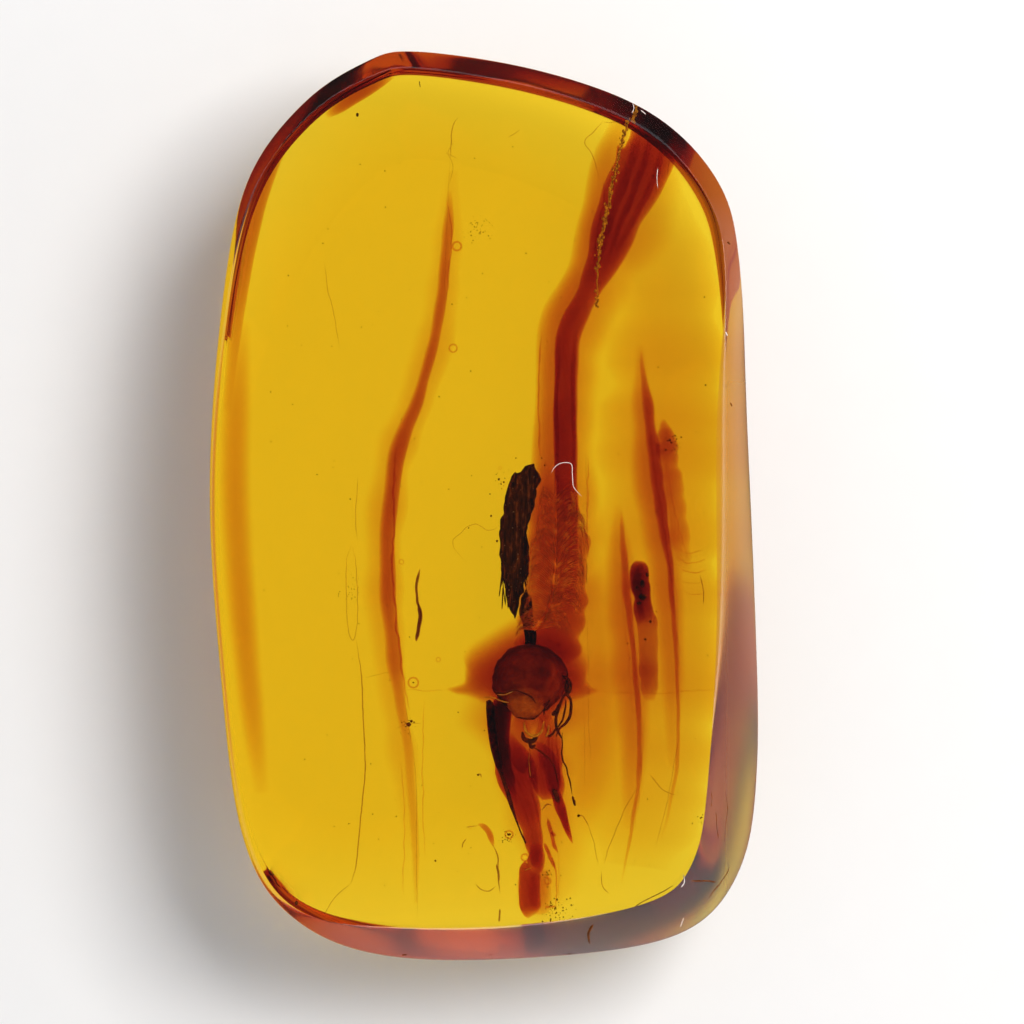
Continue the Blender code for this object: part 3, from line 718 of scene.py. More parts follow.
# %% Soaked membranes
wing_fold = ribbon([
    (0.37, -8.55, 5.0, 0.31, 0.10), (0.59, -8.77, 5.0, 0.57, 0.58), (0.59, -9.21, 5.0, 0.57, 0.66),
    (0.59, -9.82, 4.95, 0.53, 0.66), (0.64, -10.48, 4.9, 0.48, 0.60), (0.77, -11.14, 4.9, 0.40, 0.50),
    (0.95, -11.81, 4.85, 0.31, 0.30), (1.17, -12.55, 4.8, 0.18, 0.10), (1.39, -13.17, 4.8, 0.09, 0.03)],
    count=60, pinch=(0.6, 1.2), drift=0.04, per_mm=1.2, seed=51.0)
left_wing = ribbon([
    (0.81, -10.09, 4.7, 0.40, 0.04), (0.99, -10.79, 4.7, 0.70, 0.16), (1.30, -11.59, 4.7, 0.88, 0.20),
    (1.56, -12.47, 4.7, 0.79, 0.20), (1.78, -13.26, 4.7, 0.66, 0.19), (2.00, -14.05, 4.7, 0.53, 0.17),
    (2.14, -14.84, 4.7, 0.40, 0.15), (2.22, -15.46, 4.7, 0.31, 0.10), (2.27, -15.99, 4.7, 0.18, 0.03)],
    count=60, sides=24, pinch=(0.5, 0.9), drift=0.04, per_mm=1.2, seed=54.0)
inner_lobe = ribbon([
    (1.52, -9.21, 5.5, 0.18, 0.02), (1.52, -9.74, 5.5, 0.44, 0.05), (1.48, -10.48, 5.5, 0.44, 0.06),
    (1.52, -11.14, 5.5, 0.40, 0.07), (1.61, -11.59, 5.5, 0.26, 0.10), (1.65, -11.85, 5.5, 0.09, 0.02)], count=40,
    pinch=(0.6, 0.6), drift=0.02, seed=57.0)
abdomen = ribbon([
    (2.09, -10.48, 4.95, 0.18, 0.04), (2.36, -10.88, 4.95, 0.48, 0.10), (2.53, -11.41, 4.95, 0.66, 0.14),
    (2.67, -12.03, 4.95, 0.66, 0.17), (2.75, -12.55, 4.95, 0.53, 0.15), (2.80, -12.95, 4.95, 0.31, 0.05)],
    count=50, sides=24, pinch=(0.5, 0.7), drift=0.04, seed=60.0)
abdomen_back = ribbon([
    (2.67, -9.21, 4.6, 0.22, 0.03), (2.75, -10.04, 4.6, 0.62, 0.09), (2.89, -10.92, 4.6, 0.57, 0.13),
    (3.02, -11.81, 4.6, 0.44, 0.15), (3.15, -12.69, 4.6, 0.31, 0.10), (3.24, -13.17, 4.6, 0.13, 0.03)],
    count=40, pinch=(1.0, 0.8), drift=0.06, per_mm=1.4, seed=61.0)
right_wing = ribbon([
    (2.97, -12.29, 4.75, 0.09, 0.03), (3.11, -12.73, 4.75, 0.22, 0.18), (3.28, -13.26, 4.75, 0.26, 0.22),
    (3.46, -13.79, 4.75, 0.18, 0.22), (3.63, -14.32, 4.75, 0.13, 0.18), (3.85, -14.89, 4.75, 0.04, 0.03)],
    count=50, pinch=(0.8, 1.0), drift=0.03, seed=63.0)
tail = ribbon([
    (2.22, -14.93, 4.9, 0.26, 0.04), (2.27, -15.37, 4.9, 0.35, 0.13), (2.22, -15.73, 4.9, 0.40, 0.15),
    (2.09, -15.99, 4.9, 0.44, 0.12), (1.96, -16.12, 4.9, 0.48, 0.15), (1.96, -16.43, 4.9, 0.48, 0.17),
    (1.96, -17.18, 4.9, 0.48, 0.17), (2.00, -17.66, 4.9, 0.48, 0.16), (2.05, -17.93, 4.9, 0.40, 0.10),
    (2.14, -18.10, 4.9, 0.26, 0.02)], count=50, pinch=(0.3, 0.9), drift=0.02, seed=66.0)
tail_shade = ribbon([
    (2.44, -15.90, 4.9, 0.18, 0.02), (2.40, -16.43, 4.9, 0.44, 0.05), (2.44, -17.31, 4.9, 0.53, 0.05),
    (2.58, -18.02, 4.9, 0.35, 0.02)], count=30, pinch=(1.0, 2.4), drift=0.05, seed=67.0)
sinews = [strand(places, radius, 30, 6, drift=0.04, seed=radius * 90) for places, radius in [
    ([(1.12, -9.47, 5.5), (1.04, -10.26, 5.5), (1.17, -11.14, 5.5), (1.56, -11.76, 5.5)], 0.045),
    ([(2.00, -9.56, 5.5), (1.96, -10.48, 5.5), (1.92, -11.23, 5.5), (1.61, -11.81, 5.5)], 0.040),
    ([(1.96, -10.53, 5.3), (1.92, -11.36, 5.2), (2.00, -12.38, 5.1), (2.27, -13.44, 5.0), (2.44, -14.58, 4.9)], 0.050),
    ([(0.46, -10.79, 5.0), (0.99, -11.94, 5.0), (1.61, -13.17, 4.9), (2.14, -14.58, 4.9)], 0.035),
    ([(0.86, -11.06, 5.0), (1.34, -12.03, 5.0), (1.83, -13.08, 4.9), (2.27, -14.32, 4.9)], 0.030),
    ([(2.22, -10.97, 5.2), (2.44, -11.67, 5.2), (2.58, -12.47, 5.1)], 0.030),
    ([(2.67, -11.01, 5.2), (2.84, -11.67, 5.2), (2.89, -12.47, 5.1)], 0.032),
    ([(1.52, -16.17, 5.1), (1.48, -16.87, 5.1), (1.52, -17.66, 5.1), (1.78, -17.93, 5.1)], 0.040),
    ([(2.31, -9.21, 5.4), (2.67, -9.74, 5.3), (2.80, -10.35, 5.2), (2.84, -11.14, 5.2)], 0.060),
    ([(3.11, -10.18, 5.2), (3.19, -10.97, 5.1), (3.28, -11.85, 5.0), (3.33, -12.55, 5.0)], 0.055),
    ([(2.75, -9.56, 5.4), (2.93, -10.18, 5.3), (2.97, -10.97, 5.2), (3.11, -11.85, 5.1)], 0.050),
    ([(2.75, -13.79, 4.6), (2.84, -14.18, 4.6), (2.97, -14.76, 4.6), (3.19, -15.37, 4.6)], 0.100),
    ([(2.89, -14.40, 4.8), (3.11, -14.58, 4.8)], 0.090),
    ([(2.58, -14.89, 4.8), (2.80, -15.42, 4.8), (3.11, -16.03, 4.8)], 0.095),
    ([(2.71, -15.11, 4.4), (2.97, -15.64, 4.4), (3.15, -16.25, 4.4)], 0.050),
    ([(3.11, -15.99, 4.9), (3.15, -16.78, 4.9), (3.11, -17.71, 4.9)], 0.040),
    ([(3.24, -15.29, 4.9), (3.24, -15.99, 4.9), (3.24, -17.53, 4.9)], 0.025),
    ([(2.62, -17.75, 4.9), (2.89, -17.71, 4.9), (3.15, -17.71, 4.9)], 0.055),
    ([(2.71, -16.25, 4.9), (2.80, -16.61, 4.9), (2.67, -16.87, 4.9)], 0.040),
    ([(3.46, -13.17, 4.9), (3.63, -13.88, 4.9), (3.85, -14.93, 4.8)], 0.045)]]
for name, parts in (("insect_wing_fold", [wing_fold]), ("insect_left_wing", [left_wing]),
                    ("insect_inner_lobe_and_tail", [inner_lobe, tail]), ("insect_abdomen", [abdomen]),
                    ("insect_abdomen_back", [abdomen_back]), ("insect_right_wing", [right_wing, tail_shade]),
                    ("insect_sinews", sinews)):
    piece(name, joined(parts), soaked, ("insect",))

# %% [markdown]
# The hard parts in and between the membranes stay dark: the wing's thick front edge, its veins, the knotted legs, the
# antenna and the struts beside the tail. They are threads of one thickness with thin ends, in an almost black brown. A
# few pale ones are parts that still hold air, which mirror the light, and their pale colour is a painted reflection:
# the collar under the thorax and the rim of the sac.

# %% Legs, veins and antenna
dark_chitin = Finish("dark_chitin", Roughness=0.5, Specular_IOR_Level=0.15)
dark_blots = dark_chitin.cloud(5.0, detail=4.0)
dark_chitin.colour(dark_chitin.ramp(dark_blots, [(0.35, (0.040, 0.004, 0.002)),
                                                 (0.70, (0.20, 0.014, 0.005))]))
dark_chitin.bump(dark_blots, 0.03)

wing_edge = ribbon([
    (0.11, -8.59, 5.05, 0.09, 0.05), (0.20, -8.85, 5.1, 0.18, 0.14), (0.24, -9.38, 5.1, 0.18, 0.16),
    (0.33, -10.13, 5.05, 0.18, 0.16), (0.46, -10.97, 5.0, 0.18, 0.14), (0.73, -11.94, 4.9, 0.09, 0.12),
    (1.04, -12.91, 4.85, 0.09, 0.08), (1.39, -13.96, 4.8, 0.04, 0.06), (1.78, -14.89, 4.8, 0.04, 0.03)],
    count=60, pinch=(0.8, 1.2), drift=0.04, per_mm=1.4, seed=70.0)
dark_threads = [   # places along the thread, radius
    ([(3.63, -7.27, 5.6), (3.55, -7.80, 5.8), (3.59, -8.28, 5.9), (3.77, -8.50, 5.9), (3.77, -9.03, 5.8),
      (3.59, -9.51, 5.7), (3.28, -9.82, 5.6), (3.15, -10.13, 5.5)], 0.065),
    ([(3.59, -8.24, 5.8), (3.41, -8.50, 5.7), (3.24, -8.90, 5.6), (3.11, -9.38, 5.5), (3.19, -9.87, 5.5),
      (3.37, -10.22, 5.5)], 0.065),
    ([(3.55, -8.50, 5.5), (3.50, -9.03, 5.4), (3.41, -9.47, 5.4), (3.19, -9.78, 5.4)], 0.045),
    ([(3.33, -8.68, 5.6), (3.15, -9.03, 5.5), (2.93, -9.21, 5.4)], 0.090),
    ([(2.75, -10.18, 5.4), (2.97, -10.04, 5.4), (3.15, -9.82, 5.4)], 0.060),
    ([(3.41, -7.44, 5.6), (3.68, -7.71, 5.8), (3.72, -8.06, 5.9), (3.46, -8.37, 5.8)], 0.100),
    ([(3.41, -10.00, 5.3), (3.37, -10.97, 5.2), (3.55, -11.50, 5.1), (3.68, -12.03, 5.1), (3.85, -12.73, 5.0)], 0.035),
    ([(3.85, -12.82, 5.0), (3.90, -13.04, 5.0), (3.94, -13.26, 5.0)], 0.050),
    ([(1.61, -9.96, 5.5), (1.70, -10.22, 5.6), (1.92, -10.35, 5.6), (2.18, -10.31, 5.6), (2.31, -10.04, 5.5)], 0.110),
    ([(1.96, -10.35, 5.6), (2.05, -10.62, 5.5), (2.22, -10.53, 5.5)], 0.080),
    ([(2.09, -10.62, 5.4), (2.53, -10.88, 5.3), (2.89, -11.23, 5.1), (3.11, -11.81, 5.0), (3.24, -12.55, 4.9)], 0.035),
    ([(2.97, -12.47, 5.0), (3.11, -12.73, 5.0), (3.24, -13.08, 4.9)], 0.120),
    ([(0.33, -8.15, 6.0), (0.77, -8.24, 6.25), (1.34, -8.11, 6.4), (1.96, -8.37, 6.4), (2.22, -8.68, 6.3)], 0.040),
    ([(1.17, -9.12, 5.9), (1.61, -9.34, 6.0), (2.14, -9.34, 6.0), (2.53, -9.07, 5.9)], 0.035),
    ([(2.58, -9.21, 5.6), (2.67, -8.85, 5.8), (2.89, -8.50, 5.9)], 0.045),
]
hard_parts = joined([wing_edge] + [strand(places, radius, 30, 6, drift=0.05, seed=i * 1.7)
                                   for i, (places, radius) in enumerate(dark_threads)])
piece("insect_legs_and_veins", hard_parts, dark_chitin, ("insect",))

# %% The pale parts
# The pale colour here is a painted reflection of light off air-filled parts; the clear coat adds a real one.
chitin_painted_reflection = Finish("chitin_painted_reflection", Roughness=0.35, Coat_Weight=0.4)
chitin_painted_reflection.colour(chitin_painted_reflection.ramp(chitin_painted_reflection.cloud(3.0), [(0.35, (0.55, 0.16, 0.08)),
                                                             (0.65, (0.95, 0.55, 0.35))]))
chitin_painted_reflection.bump(chitin_painted_reflection.cloud(8.0), 0.03)
pale_threads = [
    ([(-0.07, -8.41, 5.9), (0.29, -8.41, 6.0), (0.64, -8.55, 6.1), (1.04, -8.63, 6.15)], 0.030),
    ([(0.51, -8.28, 6.2), (0.86, -8.28, 6.35), (1.21, -8.15, 6.4)], 0.022),
    ([(1.70, -9.47, 5.75), (1.78, -9.91, 5.8), (2.14, -10.13, 5.8), (2.49, -9.91, 5.8), (2.58, -9.47, 5.75)], 0.060),
    ([(2.80, -9.65, 5.6), (2.75, -10.00, 5.6), (2.67, -10.18, 5.6)], 0.050),
    ([(1.96, -10.79, 5.45), (1.92, -11.32, 5.4), (2.00, -11.94, 5.35)], 0.020),
    ([(2.49, -13.44, 5.0), (2.71, -13.17, 5.1), (2.93, -13.21, 5.0)], 0.030),
    ([(1.74, -16.08, 5.15), (2.00, -15.99, 5.15)], 0.018),
]
piece("insect_pale_parts", joined([strand(places, radius, 24, 6, drift=0.02, seed=i * 2.9)
                                   for i, (places, radius) in enumerate(pale_threads)]),
      chitin_painted_reflection, ("insect",))

# %% [markdown]
# ## The feather
# A small, downy feather lies just above the insect. It has a thin shaft, soft barbs that curve up and
# fall over at the tips, and still finer barbules on every barb. The barbs are grown one by one along
# the shaft. The barbules are three-sided spikes, because there are hundreds of them and each is far
# thinner than a hair. Wet barbs cling together in small groups, so each group shares its length, its
# swing and how far it hangs.

# %% The shaft
SHAFT = [(2.12, -5.45, 5.62), (2.80, -4.40, 5.60), (3.05, -2.70, 5.60), (3.11, -0.80, 5.60),
         (3.11, 1.20, 5.60)]
SHAFT_RADIUS = 0.09

down = Finish("stained_down", Roughness=0.6, Specular_IOR_Level=0.15, Sheen_Weight=0.3)
down_blots = down.cloud(2.2, detail=5.0)
down.colour(down.ramp(down_blots, [(0.34, (0.34, 0.018, 0.006)), (0.52, (0.72, 0.075, 0.022)),
                                   (0.68, (1.00, 0.320, 0.140))]))
down.bump(down.cloud(20.0), 0.02)

shaft_curve = open_curve(SHAFT, 60)
shaft = grown(rings_along([(*place, SHAFT_RADIUS * (1 - 0.8 * i / 59), SHAFT_RADIUS * (1 - 0.8 * i / 59))
                           for i, place in enumerate(shaft_curve)], 8))

# %% The barbs and their barbules
BARBS_A_SIDE = 76
BARB_STEPS = 12
BARBULES = 9
CLUMP = 5                        # neighbouring barbs that cling together
chance = random.Random(7)
barbs = [shaft]
spikes = bmesh.new()
for side, reach in ((-1, 1.00), (1, 1.42)):
    for n in range(BARBS_A_SIDE):
        if n % CLUMP == 0:
            together = (chance.uniform(0.72, 1.06), chance.uniform(-0.20, 0.20), chance.uniform(0.75, 1.25),
                        chance.uniform(-0.08, 0.14))
        stretch, swing, hang, lift = together
        up_shaft = n / (BARBS_A_SIDE - 1)
        x, y, z = open_curve(SHAFT, 200)[int(up_shaft * 176)]
        clinging = ((n % CLUMP) - CLUMP / 2) * 0.035
        length = reach * stretch * (0.80 + 0.30 * math.sin(math.pi * min(1.0, 0.10 + up_shaft * 0.80)))
        length *= chance.uniform(0.90, 1.05) * (1.0 if up_shaft < 0.7 else 1.75 - 1.07 * up_shaft)
        rise = 0.15 + 0.95 * min(1.0, up_shaft * 1.5)
        route = []
        for step in range(BARB_STEPS):
            f = step / (BARB_STEPS - 1)
            out = math.sin(f * math.pi / 2) ** 0.9 * length
            climb = (rise * math.sin(math.pi * f * 0.72) - hang * (0.35 + up_shaft) * f ** 3) * length * 0.85
            route.append((x + side * out, y + climb + (swing - clinging) * f * f, z + lift * f))
        radii = [0.024 * (1.1 - f / BARB_STEPS) for f in range(BARB_STEPS)]
        barbs.append(grown(rings_along([(*place, radius, radius)
                                        for place, radius in zip(route, radii)], 3)))
        for k in range(BARBULES):
            f = 0.2 + 0.75 * k / BARBULES
            reached = f * (BARB_STEPS - 1)
            root, tip = Vector(route[int(reached)]), Vector(route[int(reached) + 1])
            along = (tip - root).normalized()
            sideways = Vector((-along.y, along.x, 0.0)) * (1 if k % 2 else -1)
            way = (along * 1.6 + sideways * chance.uniform(0.2, 0.7)
                   + Vector((0, 0, chance.uniform(-0.3, 0.3)))).normalized()
            size = chance.uniform(0.12, 0.28)
            turn = way.to_track_quat('Z', 'Y').to_matrix().to_4x4()
            middle = (root.lerp(tip, reached % 1) + way * size / 2) * MM
            bmesh.ops.create_cone(spikes, cap_ends=True, segments=3, radius1=0.010 * MM,
                                  radius2=0.001 * MM, depth=size * MM,
                                  matrix=Matrix.Translation(middle) @ turn)
piece("downy_feather", joined(barbs + [spikes]), down, ("feather",))

# %% [markdown]
# ## The bark flake and the leaf chip
# The flake is a splinter of dark bark with a torn edge. It is grown along its length as the veils are,
# but its rings are roughened with noise, and fine splinters stick out of the lower end. A smaller
# sliver that broke off it leads down to the insect. The leaf chip is a brown, curled scrap that the
# amber shows through at its lower end, so it is made of the soaked medium with a few solid spots.

# %% Bark
bark = Finish("dark_bark", Roughness=0.8, Specular_IOR_Level=0.1)
fibre = bark.cloud(7.0, detail=5.0, vector=bark.stretched(scale=(1.0, 0.18, 1.0)))
specks = bark.step(bark.cloud(8.0, detail=2.0), 0.67, 0.72)
bark_tone = bark.ramp(fibre, [(0.38, (0.022, 0.006, 0.002)), (0.55, (0.075, 0.020, 0.007)),
                              (0.70, (0.26, 0.080, 0.026))])
bark.colour(bark.mix(specks * 0.7, bark_tone, (0.50, 0.30, 0.18)))
bark.bump(fibre, 0.16)


def torn(stations, count, sides, amount, per_mm, seed, pinch=(0.6, 0.6)):
    """A grown body whose surface is torn in and out by noise."""
    bm = grown(rings_along(open_curve(stations, count), sides, pinch))
    for vert in bm.verts:
        place = vert.co / MM
        shift = noise.noise_vector(Vector((place.x * per_mm, place.y * per_mm * 0.6,
                                           place.z * per_mm + seed))) * amount
        vert.co = (place + Vector((shift.x, shift.y, shift.z * 0.5))) * MM
    return bm


flake = torn([(1.78, 1.81, 4.45, 0.09, 0.08), (1.87, 1.63, 4.45, 0.40, 0.24), (1.87, 1.32, 4.45, 0.53, 0.30),
              (1.65, 0.93, 4.45, 0.62, 0.32), (1.52, 0.18, 4.45, 0.66, 0.34), (1.34, -0.40, 4.45, 0.62, 0.34),
              (1.21, -1.23, 4.45, 0.57, 0.34), (1.26, -2.11, 4.45, 0.62, 0.34), (1.30, -2.95, 4.45, 0.57, 0.30),
              (1.30, -3.66, 4.45, 0.40, 0.24), (1.21, -4.36, 4.45, 0.22, 0.18), (1.30, -4.93, 4.45, 0.04, 0.05)],
             90, 30, 0.17, 3.4, 1.0)
sliver = torn([(1.74, -3.66, 4.6, 0.04, 0.05), (1.83, -4.10, 4.6, 0.26, 0.18), (1.78, -4.63, 4.6, 0.26, 0.20),
               (1.87, -5.15, 4.6, 0.22, 0.20), (1.96, -5.68, 4.6, 0.26, 0.18), (1.96, -6.17, 4.6, 0.22, 0.12)],
              40, 16, 0.12, 4.0, 5.0)
chance = random.Random(11)
splinters = []
for n in range(44):
    x, y = chance.uniform(0.66, 1.75), chance.uniform(-3.6, -2.4)
    length = chance.uniform(0.3, 1.2)
    lean = chance.uniform(-0.10, 0.20)
    z = 4.55 + chance.uniform(-0.25, 0.30)
    splinters.append(strand([(x, y, z), (x + lean * 0.4, y - length * 0.5, z),
                             (x + lean, y - length, z)], chance.uniform(0.015, 0.045), 8, 4))
piece("bark_flake_torn", joined([flake, sliver] + splinters), bark, ("bark_flake",))

# %% Leaf
leaf = Finish("soaked_leaf", Base_Color=(1.0, 1.0, 1.0, 1.0), Roughness=0.0,
              Transmission_Weight=1.0, IOR=1.0)
leaf.absorb((1500.0, 4400.0, 9000.0))
leaf_head = ribbon([
    (6.85, -2.38, 5.0, 0.18, 0.06), (6.85, -2.69, 5.0, 0.40, 0.50), (6.85, -3.39, 5.0, 0.44, 0.62),
    (6.94, -4.01, 5.0, 0.40, 0.56), (6.98, -4.45, 5.0, 0.44, 0.46), (7.07, -4.89, 5.0, 0.44, 0.34),
    (7.16, -5.24, 5.0, 0.48, 0.20), (7.20, -6.30, 5.0, 0.48, 0.18), (7.25, -7.27, 5.0, 0.44, 0.22),
    (7.25, -8.06, 5.0, 0.40, 0.14), (7.25, -8.59, 5.0, 0.22, 0.02)], count=60, pinch=(0.6, 0.7),
    drift=0.05, per_mm=1.6, seed=77.0)
leaf_fold = ribbon([
    (6.81, -2.60, 5.2, 0.13, 0.03), (6.72, -3.13, 5.2, 0.22, 0.26), (6.76, -3.74, 5.2, 0.22, 0.30),
    (6.85, -4.36, 5.2, 0.18, 0.20), (6.89, -4.98, 5.2, 0.13, 0.03)], count=40, pinch=(0.7, 1.4),
    drift=0.06, per_mm=2.0, seed=79.0)
piece("leaf_chip_soaked", leaf_head, leaf, ("leaf_chip",))
piece("leaf_chip_fold", leaf_fold, leaf, ("leaf_chip",))
spots = [lump((x, y, 5.35), (width, width * tall, 0.08), 0.05, 4.0, 3, width * 50) for x, y, width, tall in
         [(6.94, -3.96, 0.17, 0.8), (6.94, -3.39, 0.09, 2.0), (6.81, -4.27, 0.10, 0.7), (7.16, -3.00, 0.05, 1.4),
          (6.72, -3.57, 0.06, 1.2), (7.29, -5.07, 0.05, 0.8), (7.07, -5.86, 0.04, 1.0)]]
piece("leaf_spots", joined(spots), bark, ("leaf_chip",))

# %% [markdown]
# ## Cracks, hairs, bubbles and dust
# What makes amber look old and real is small: plant hairs, drying cracks with dirt in them, bubbles
# of air, and dust that settled on each flow before the next one came. The hairs are threads, each a
# few hundredths of a millimetre thick, written as a height in the resin, a radius and places
# (x, y) along the way. So thin a hair lets light through and looks brown, not black, so the threads are
# filled with a brown medium.

# %% Hairs and cracks


def threads(lines, drift=0.03):
    """Thin threads through places (x, y), each with a height and a radius of its own."""
    return joined([strand([(x, y, z) for x, y in places], radius, 9 * len(places), 5, drift=drift,
                          seed=n * 2.3) for n, (z, radius, places) in enumerate(lines)])


brown_hair = Finish("brown_hair", Base_Color=(1.0, 1.0, 1.0, 1.0), Roughness=0.0,
                    Transmission_Weight=1.0, IOR=1.0)
brown_hair.absorb((12000.0, 20000.0, 24000.0))

hairs_and_cracks = threads([
    (6.2, 0.020, [(0.64, -0.79), (0.37, -0.97), (0.07, -1.01), (-0.24, -0.84), (-0.46, -0.75), (-0.81, -0.88),
                  (-1.08, -1.15), (-1.43, -1.45), (-1.34, -1.89), (-0.81, -2.47)]),
    (7.0, 0.028, [(-1.21, 17.18), (-1.43, 16.83), (-1.48, 16.52), (-1.52, 15.90), (-1.56, 15.29)]),
    (7.0, 0.018, [(-1.34, 16.17), (-1.65, 15.64), (-1.43, 15.02), (-1.65, 14.14)]),
    (7.0, 0.016, [(-1.78, 15.64), (-1.26, 15.37)]),
    (6.5, 0.014, [(-1.56, 15.29), (-1.70, 12.64), (-1.83, 9.12)]),
    (7.5, 0.020, [(-7.07, 10.75), (-6.94, 9.56), (-6.67, 8.46), (-6.41, 6.92)]),
    (5.6, 0.075, [(-2.89, -2.73), (-3.06, -3.44), (-3.02, -4.10), (-2.93, -4.45)]),
    (5.8, 0.105, [(-2.97, -4.27), (-2.89, -4.80), (-2.97, -5.42), (-3.06, -5.95)]),
    (6.4, 0.020, [(-5.62, 1.41), (-5.70, 0.31), (-5.75, -0.57), (-5.66, -1.45)]),
    (6.4, 0.022, [(-5.92, -1.67), (-6.14, -2.42), (-6.14, -4.10), (-6.06, -5.42), (-5.84, -5.86), (-5.66, -5.07),
                  (-5.66, -3.66), (-5.75, -2.33), (-5.92, -1.72)]),
    (6.4, 0.034, [(-5.70, -5.86), (-5.48, -7.40), (-5.40, -9.38), (-5.31, -11.59), (-5.53, -13.79), (-5.70, -15.77),
                  (-5.97, -16.65)]),
    (6.4, 0.022, [(-5.97, -16.65), (-6.41, -17.00), (-6.85, -17.53), (-7.20, -18.19)]),
    (6.0, 0.015, [(-5.35, -7.58), (-4.56, -7.36), (-3.68, -7.22)]),
    (6.0, 0.018, [(-3.99, -9.78), (-3.41, -9.60), (-2.84, -9.56)]),
    (6.0, 0.018, [(-3.55, -8.85), (-3.41, -9.60), (-3.33, -10.44)]),
    (5.5, 0.018, [(-3.24, -10.48), (-3.06, -12.47), (-3.06, -15.11), (-3.02, -18.28)]),
    (5.4, 0.030, [(4.07, -13.61), (4.34, -13.70), (4.56, -14.14)]),
    (5.4, 0.022, [(4.52, -14.05), (4.74, -14.67), (4.87, -15.24), (5.00, -15.81)]),
    (5.4, 0.028, [(5.13, -16.12), (5.13, -16.61), (5.26, -16.92), (5.48, -17.09)]),
    (5.6, 0.024, [(6.67, -12.47), (6.19, -13.30), (5.75, -14.32), (5.40, -15.20), (5.26, -15.81)]),
    (5.8, 0.024, [(7.25, -11.81), (7.55, -12.16), (7.91, -12.55), (8.57, -12.77)]),
    (5.8, 0.018, [(8.61, -10.04), (8.35, -11.36), (8.04, -12.99), (7.73, -14.23), (7.47, -15.20)]),
    (5.4, 0.040, [(0.29, -14.93), (0.51, -15.37), (0.55, -15.81), (0.55, -16.43), (0.64, -17.09)]),
    (5.4, 0.060, [(0.46, -15.81), (0.55, -16.17), (0.59, -16.61)]),
    (5.4, 0.030, [(-0.46, -16.65), (-0.20, -16.92), (0.15, -17.00), (0.46, -16.78)]),
    (5.4, 0.034, [(-1.04, -15.11), (-0.99, -14.89), (-0.86, -14.67)]),
    (5.4, 0.024, [(-0.86, -14.18), (-0.59, -14.14), (-0.33, -14.10)]),
    (5.4, 0.050, [(0.64, -17.80), (0.59, -18.37)]),
    (5.6, 0.034, [(-0.42, -11.85), (-0.24, -11.81), (-0.20, -11.98)]),
    (6.6, 0.020, [(0.99, 16.34), (1.26, 16.47), (1.52, 16.65)]),
    (6.6, 0.024, [(5.18, 17.05), (4.78, 16.56), (4.38, 16.12), (4.74, 15.51), (5.04, 14.40)]),
    (6.6, 0.020, [(6.45, 17.40), (5.75, 17.00), (5.18, 17.00)]),
    (6.6, 0.024, [(8.26, 15.55), (8.08, 15.11), (8.04, 14.58)]),
    (5.2, 0.014, [(4.43, 2.51), (4.47, 0.31), (4.43, -2.33)]),
    (5.2, 0.026, [(4.47, -2.47), (4.47, -3.44)]),
    (5.2, 0.014, [(4.43, -4.10), (4.56, -6.74), (4.56, -9.38), (4.69, -11.59)]),
    (5.2, 0.012, [(4.29, -8.06), (4.38, -10.26), (4.38, -12.91)]),
    (7.6, 0.018, [(9.89, -12.38), (9.71, -13.17)]),
    (7.0, 0.030, [(10.15, -13.26), (10.24, -13.96), (10.24, -14.67)]),
    (8.2, 0.030, [(9.45, -3.00), (9.58, -3.66), (9.58, -4.27)]),
])
piece("hairs_and_cracks", hairs_and_cracks, brown_hair)

# %% [markdown]
# The long crack beside the wedge is the most visible of them. It is filled with golden crumbs, so it
# is a chain of small, rough lumps along one line, with a thread through them.

# %% The granular crack
CRACK = [(6.41, 17.36, 6.9), (6.23, 16.83, 6.8), (6.01, 16.12, 6.7), (5.79, 15.07, 6.6), (5.57, 14.18, 6.5),
         (5.40, 13.39, 6.4), (5.22, 12.42, 6.4), (5.04, 11.54, 6.3), (4.96, 10.44, 6.2), (4.91, 8.85, 6.1)]

crumbs = Finish("golden_crumbs", Roughness=0.7, Specular_IOR_Level=0.2)
crumbs.colour(crumbs.ramp(crumbs.cloud(7.0), [(0.35, (0.36, 0.12, 0.02)), (0.65, (0.95, 0.50, 0.12))]))
crumbs.bump(crumbs.cloud(18.0), 0.02)
chance = random.Random(19)
crumb_parts = [strand(CRACK, 0.045, 120, 5, drift=0.10, seed=4.0)]
for x, y, z in open_curve(CRACK, 150):
    size = chance.uniform(0.025, 0.075)
    crumb_parts.append(lump((x + chance.gauss(0, 0.06), y, z + chance.gauss(0, 0.05)),
                            (size, size * 1.4, size), 0.4 * size, 1.0 / size, 1, chance.uniform(0, 50)))
piece("granular_crack", joined(crumb_parts), crumbs)

# %% [markdown]
# Faint, thin stains follow some of the cracks, and ripples of the flow lie beside the right streak.
# They use the denser medium, because a plain stain as thin as that would be invisible.

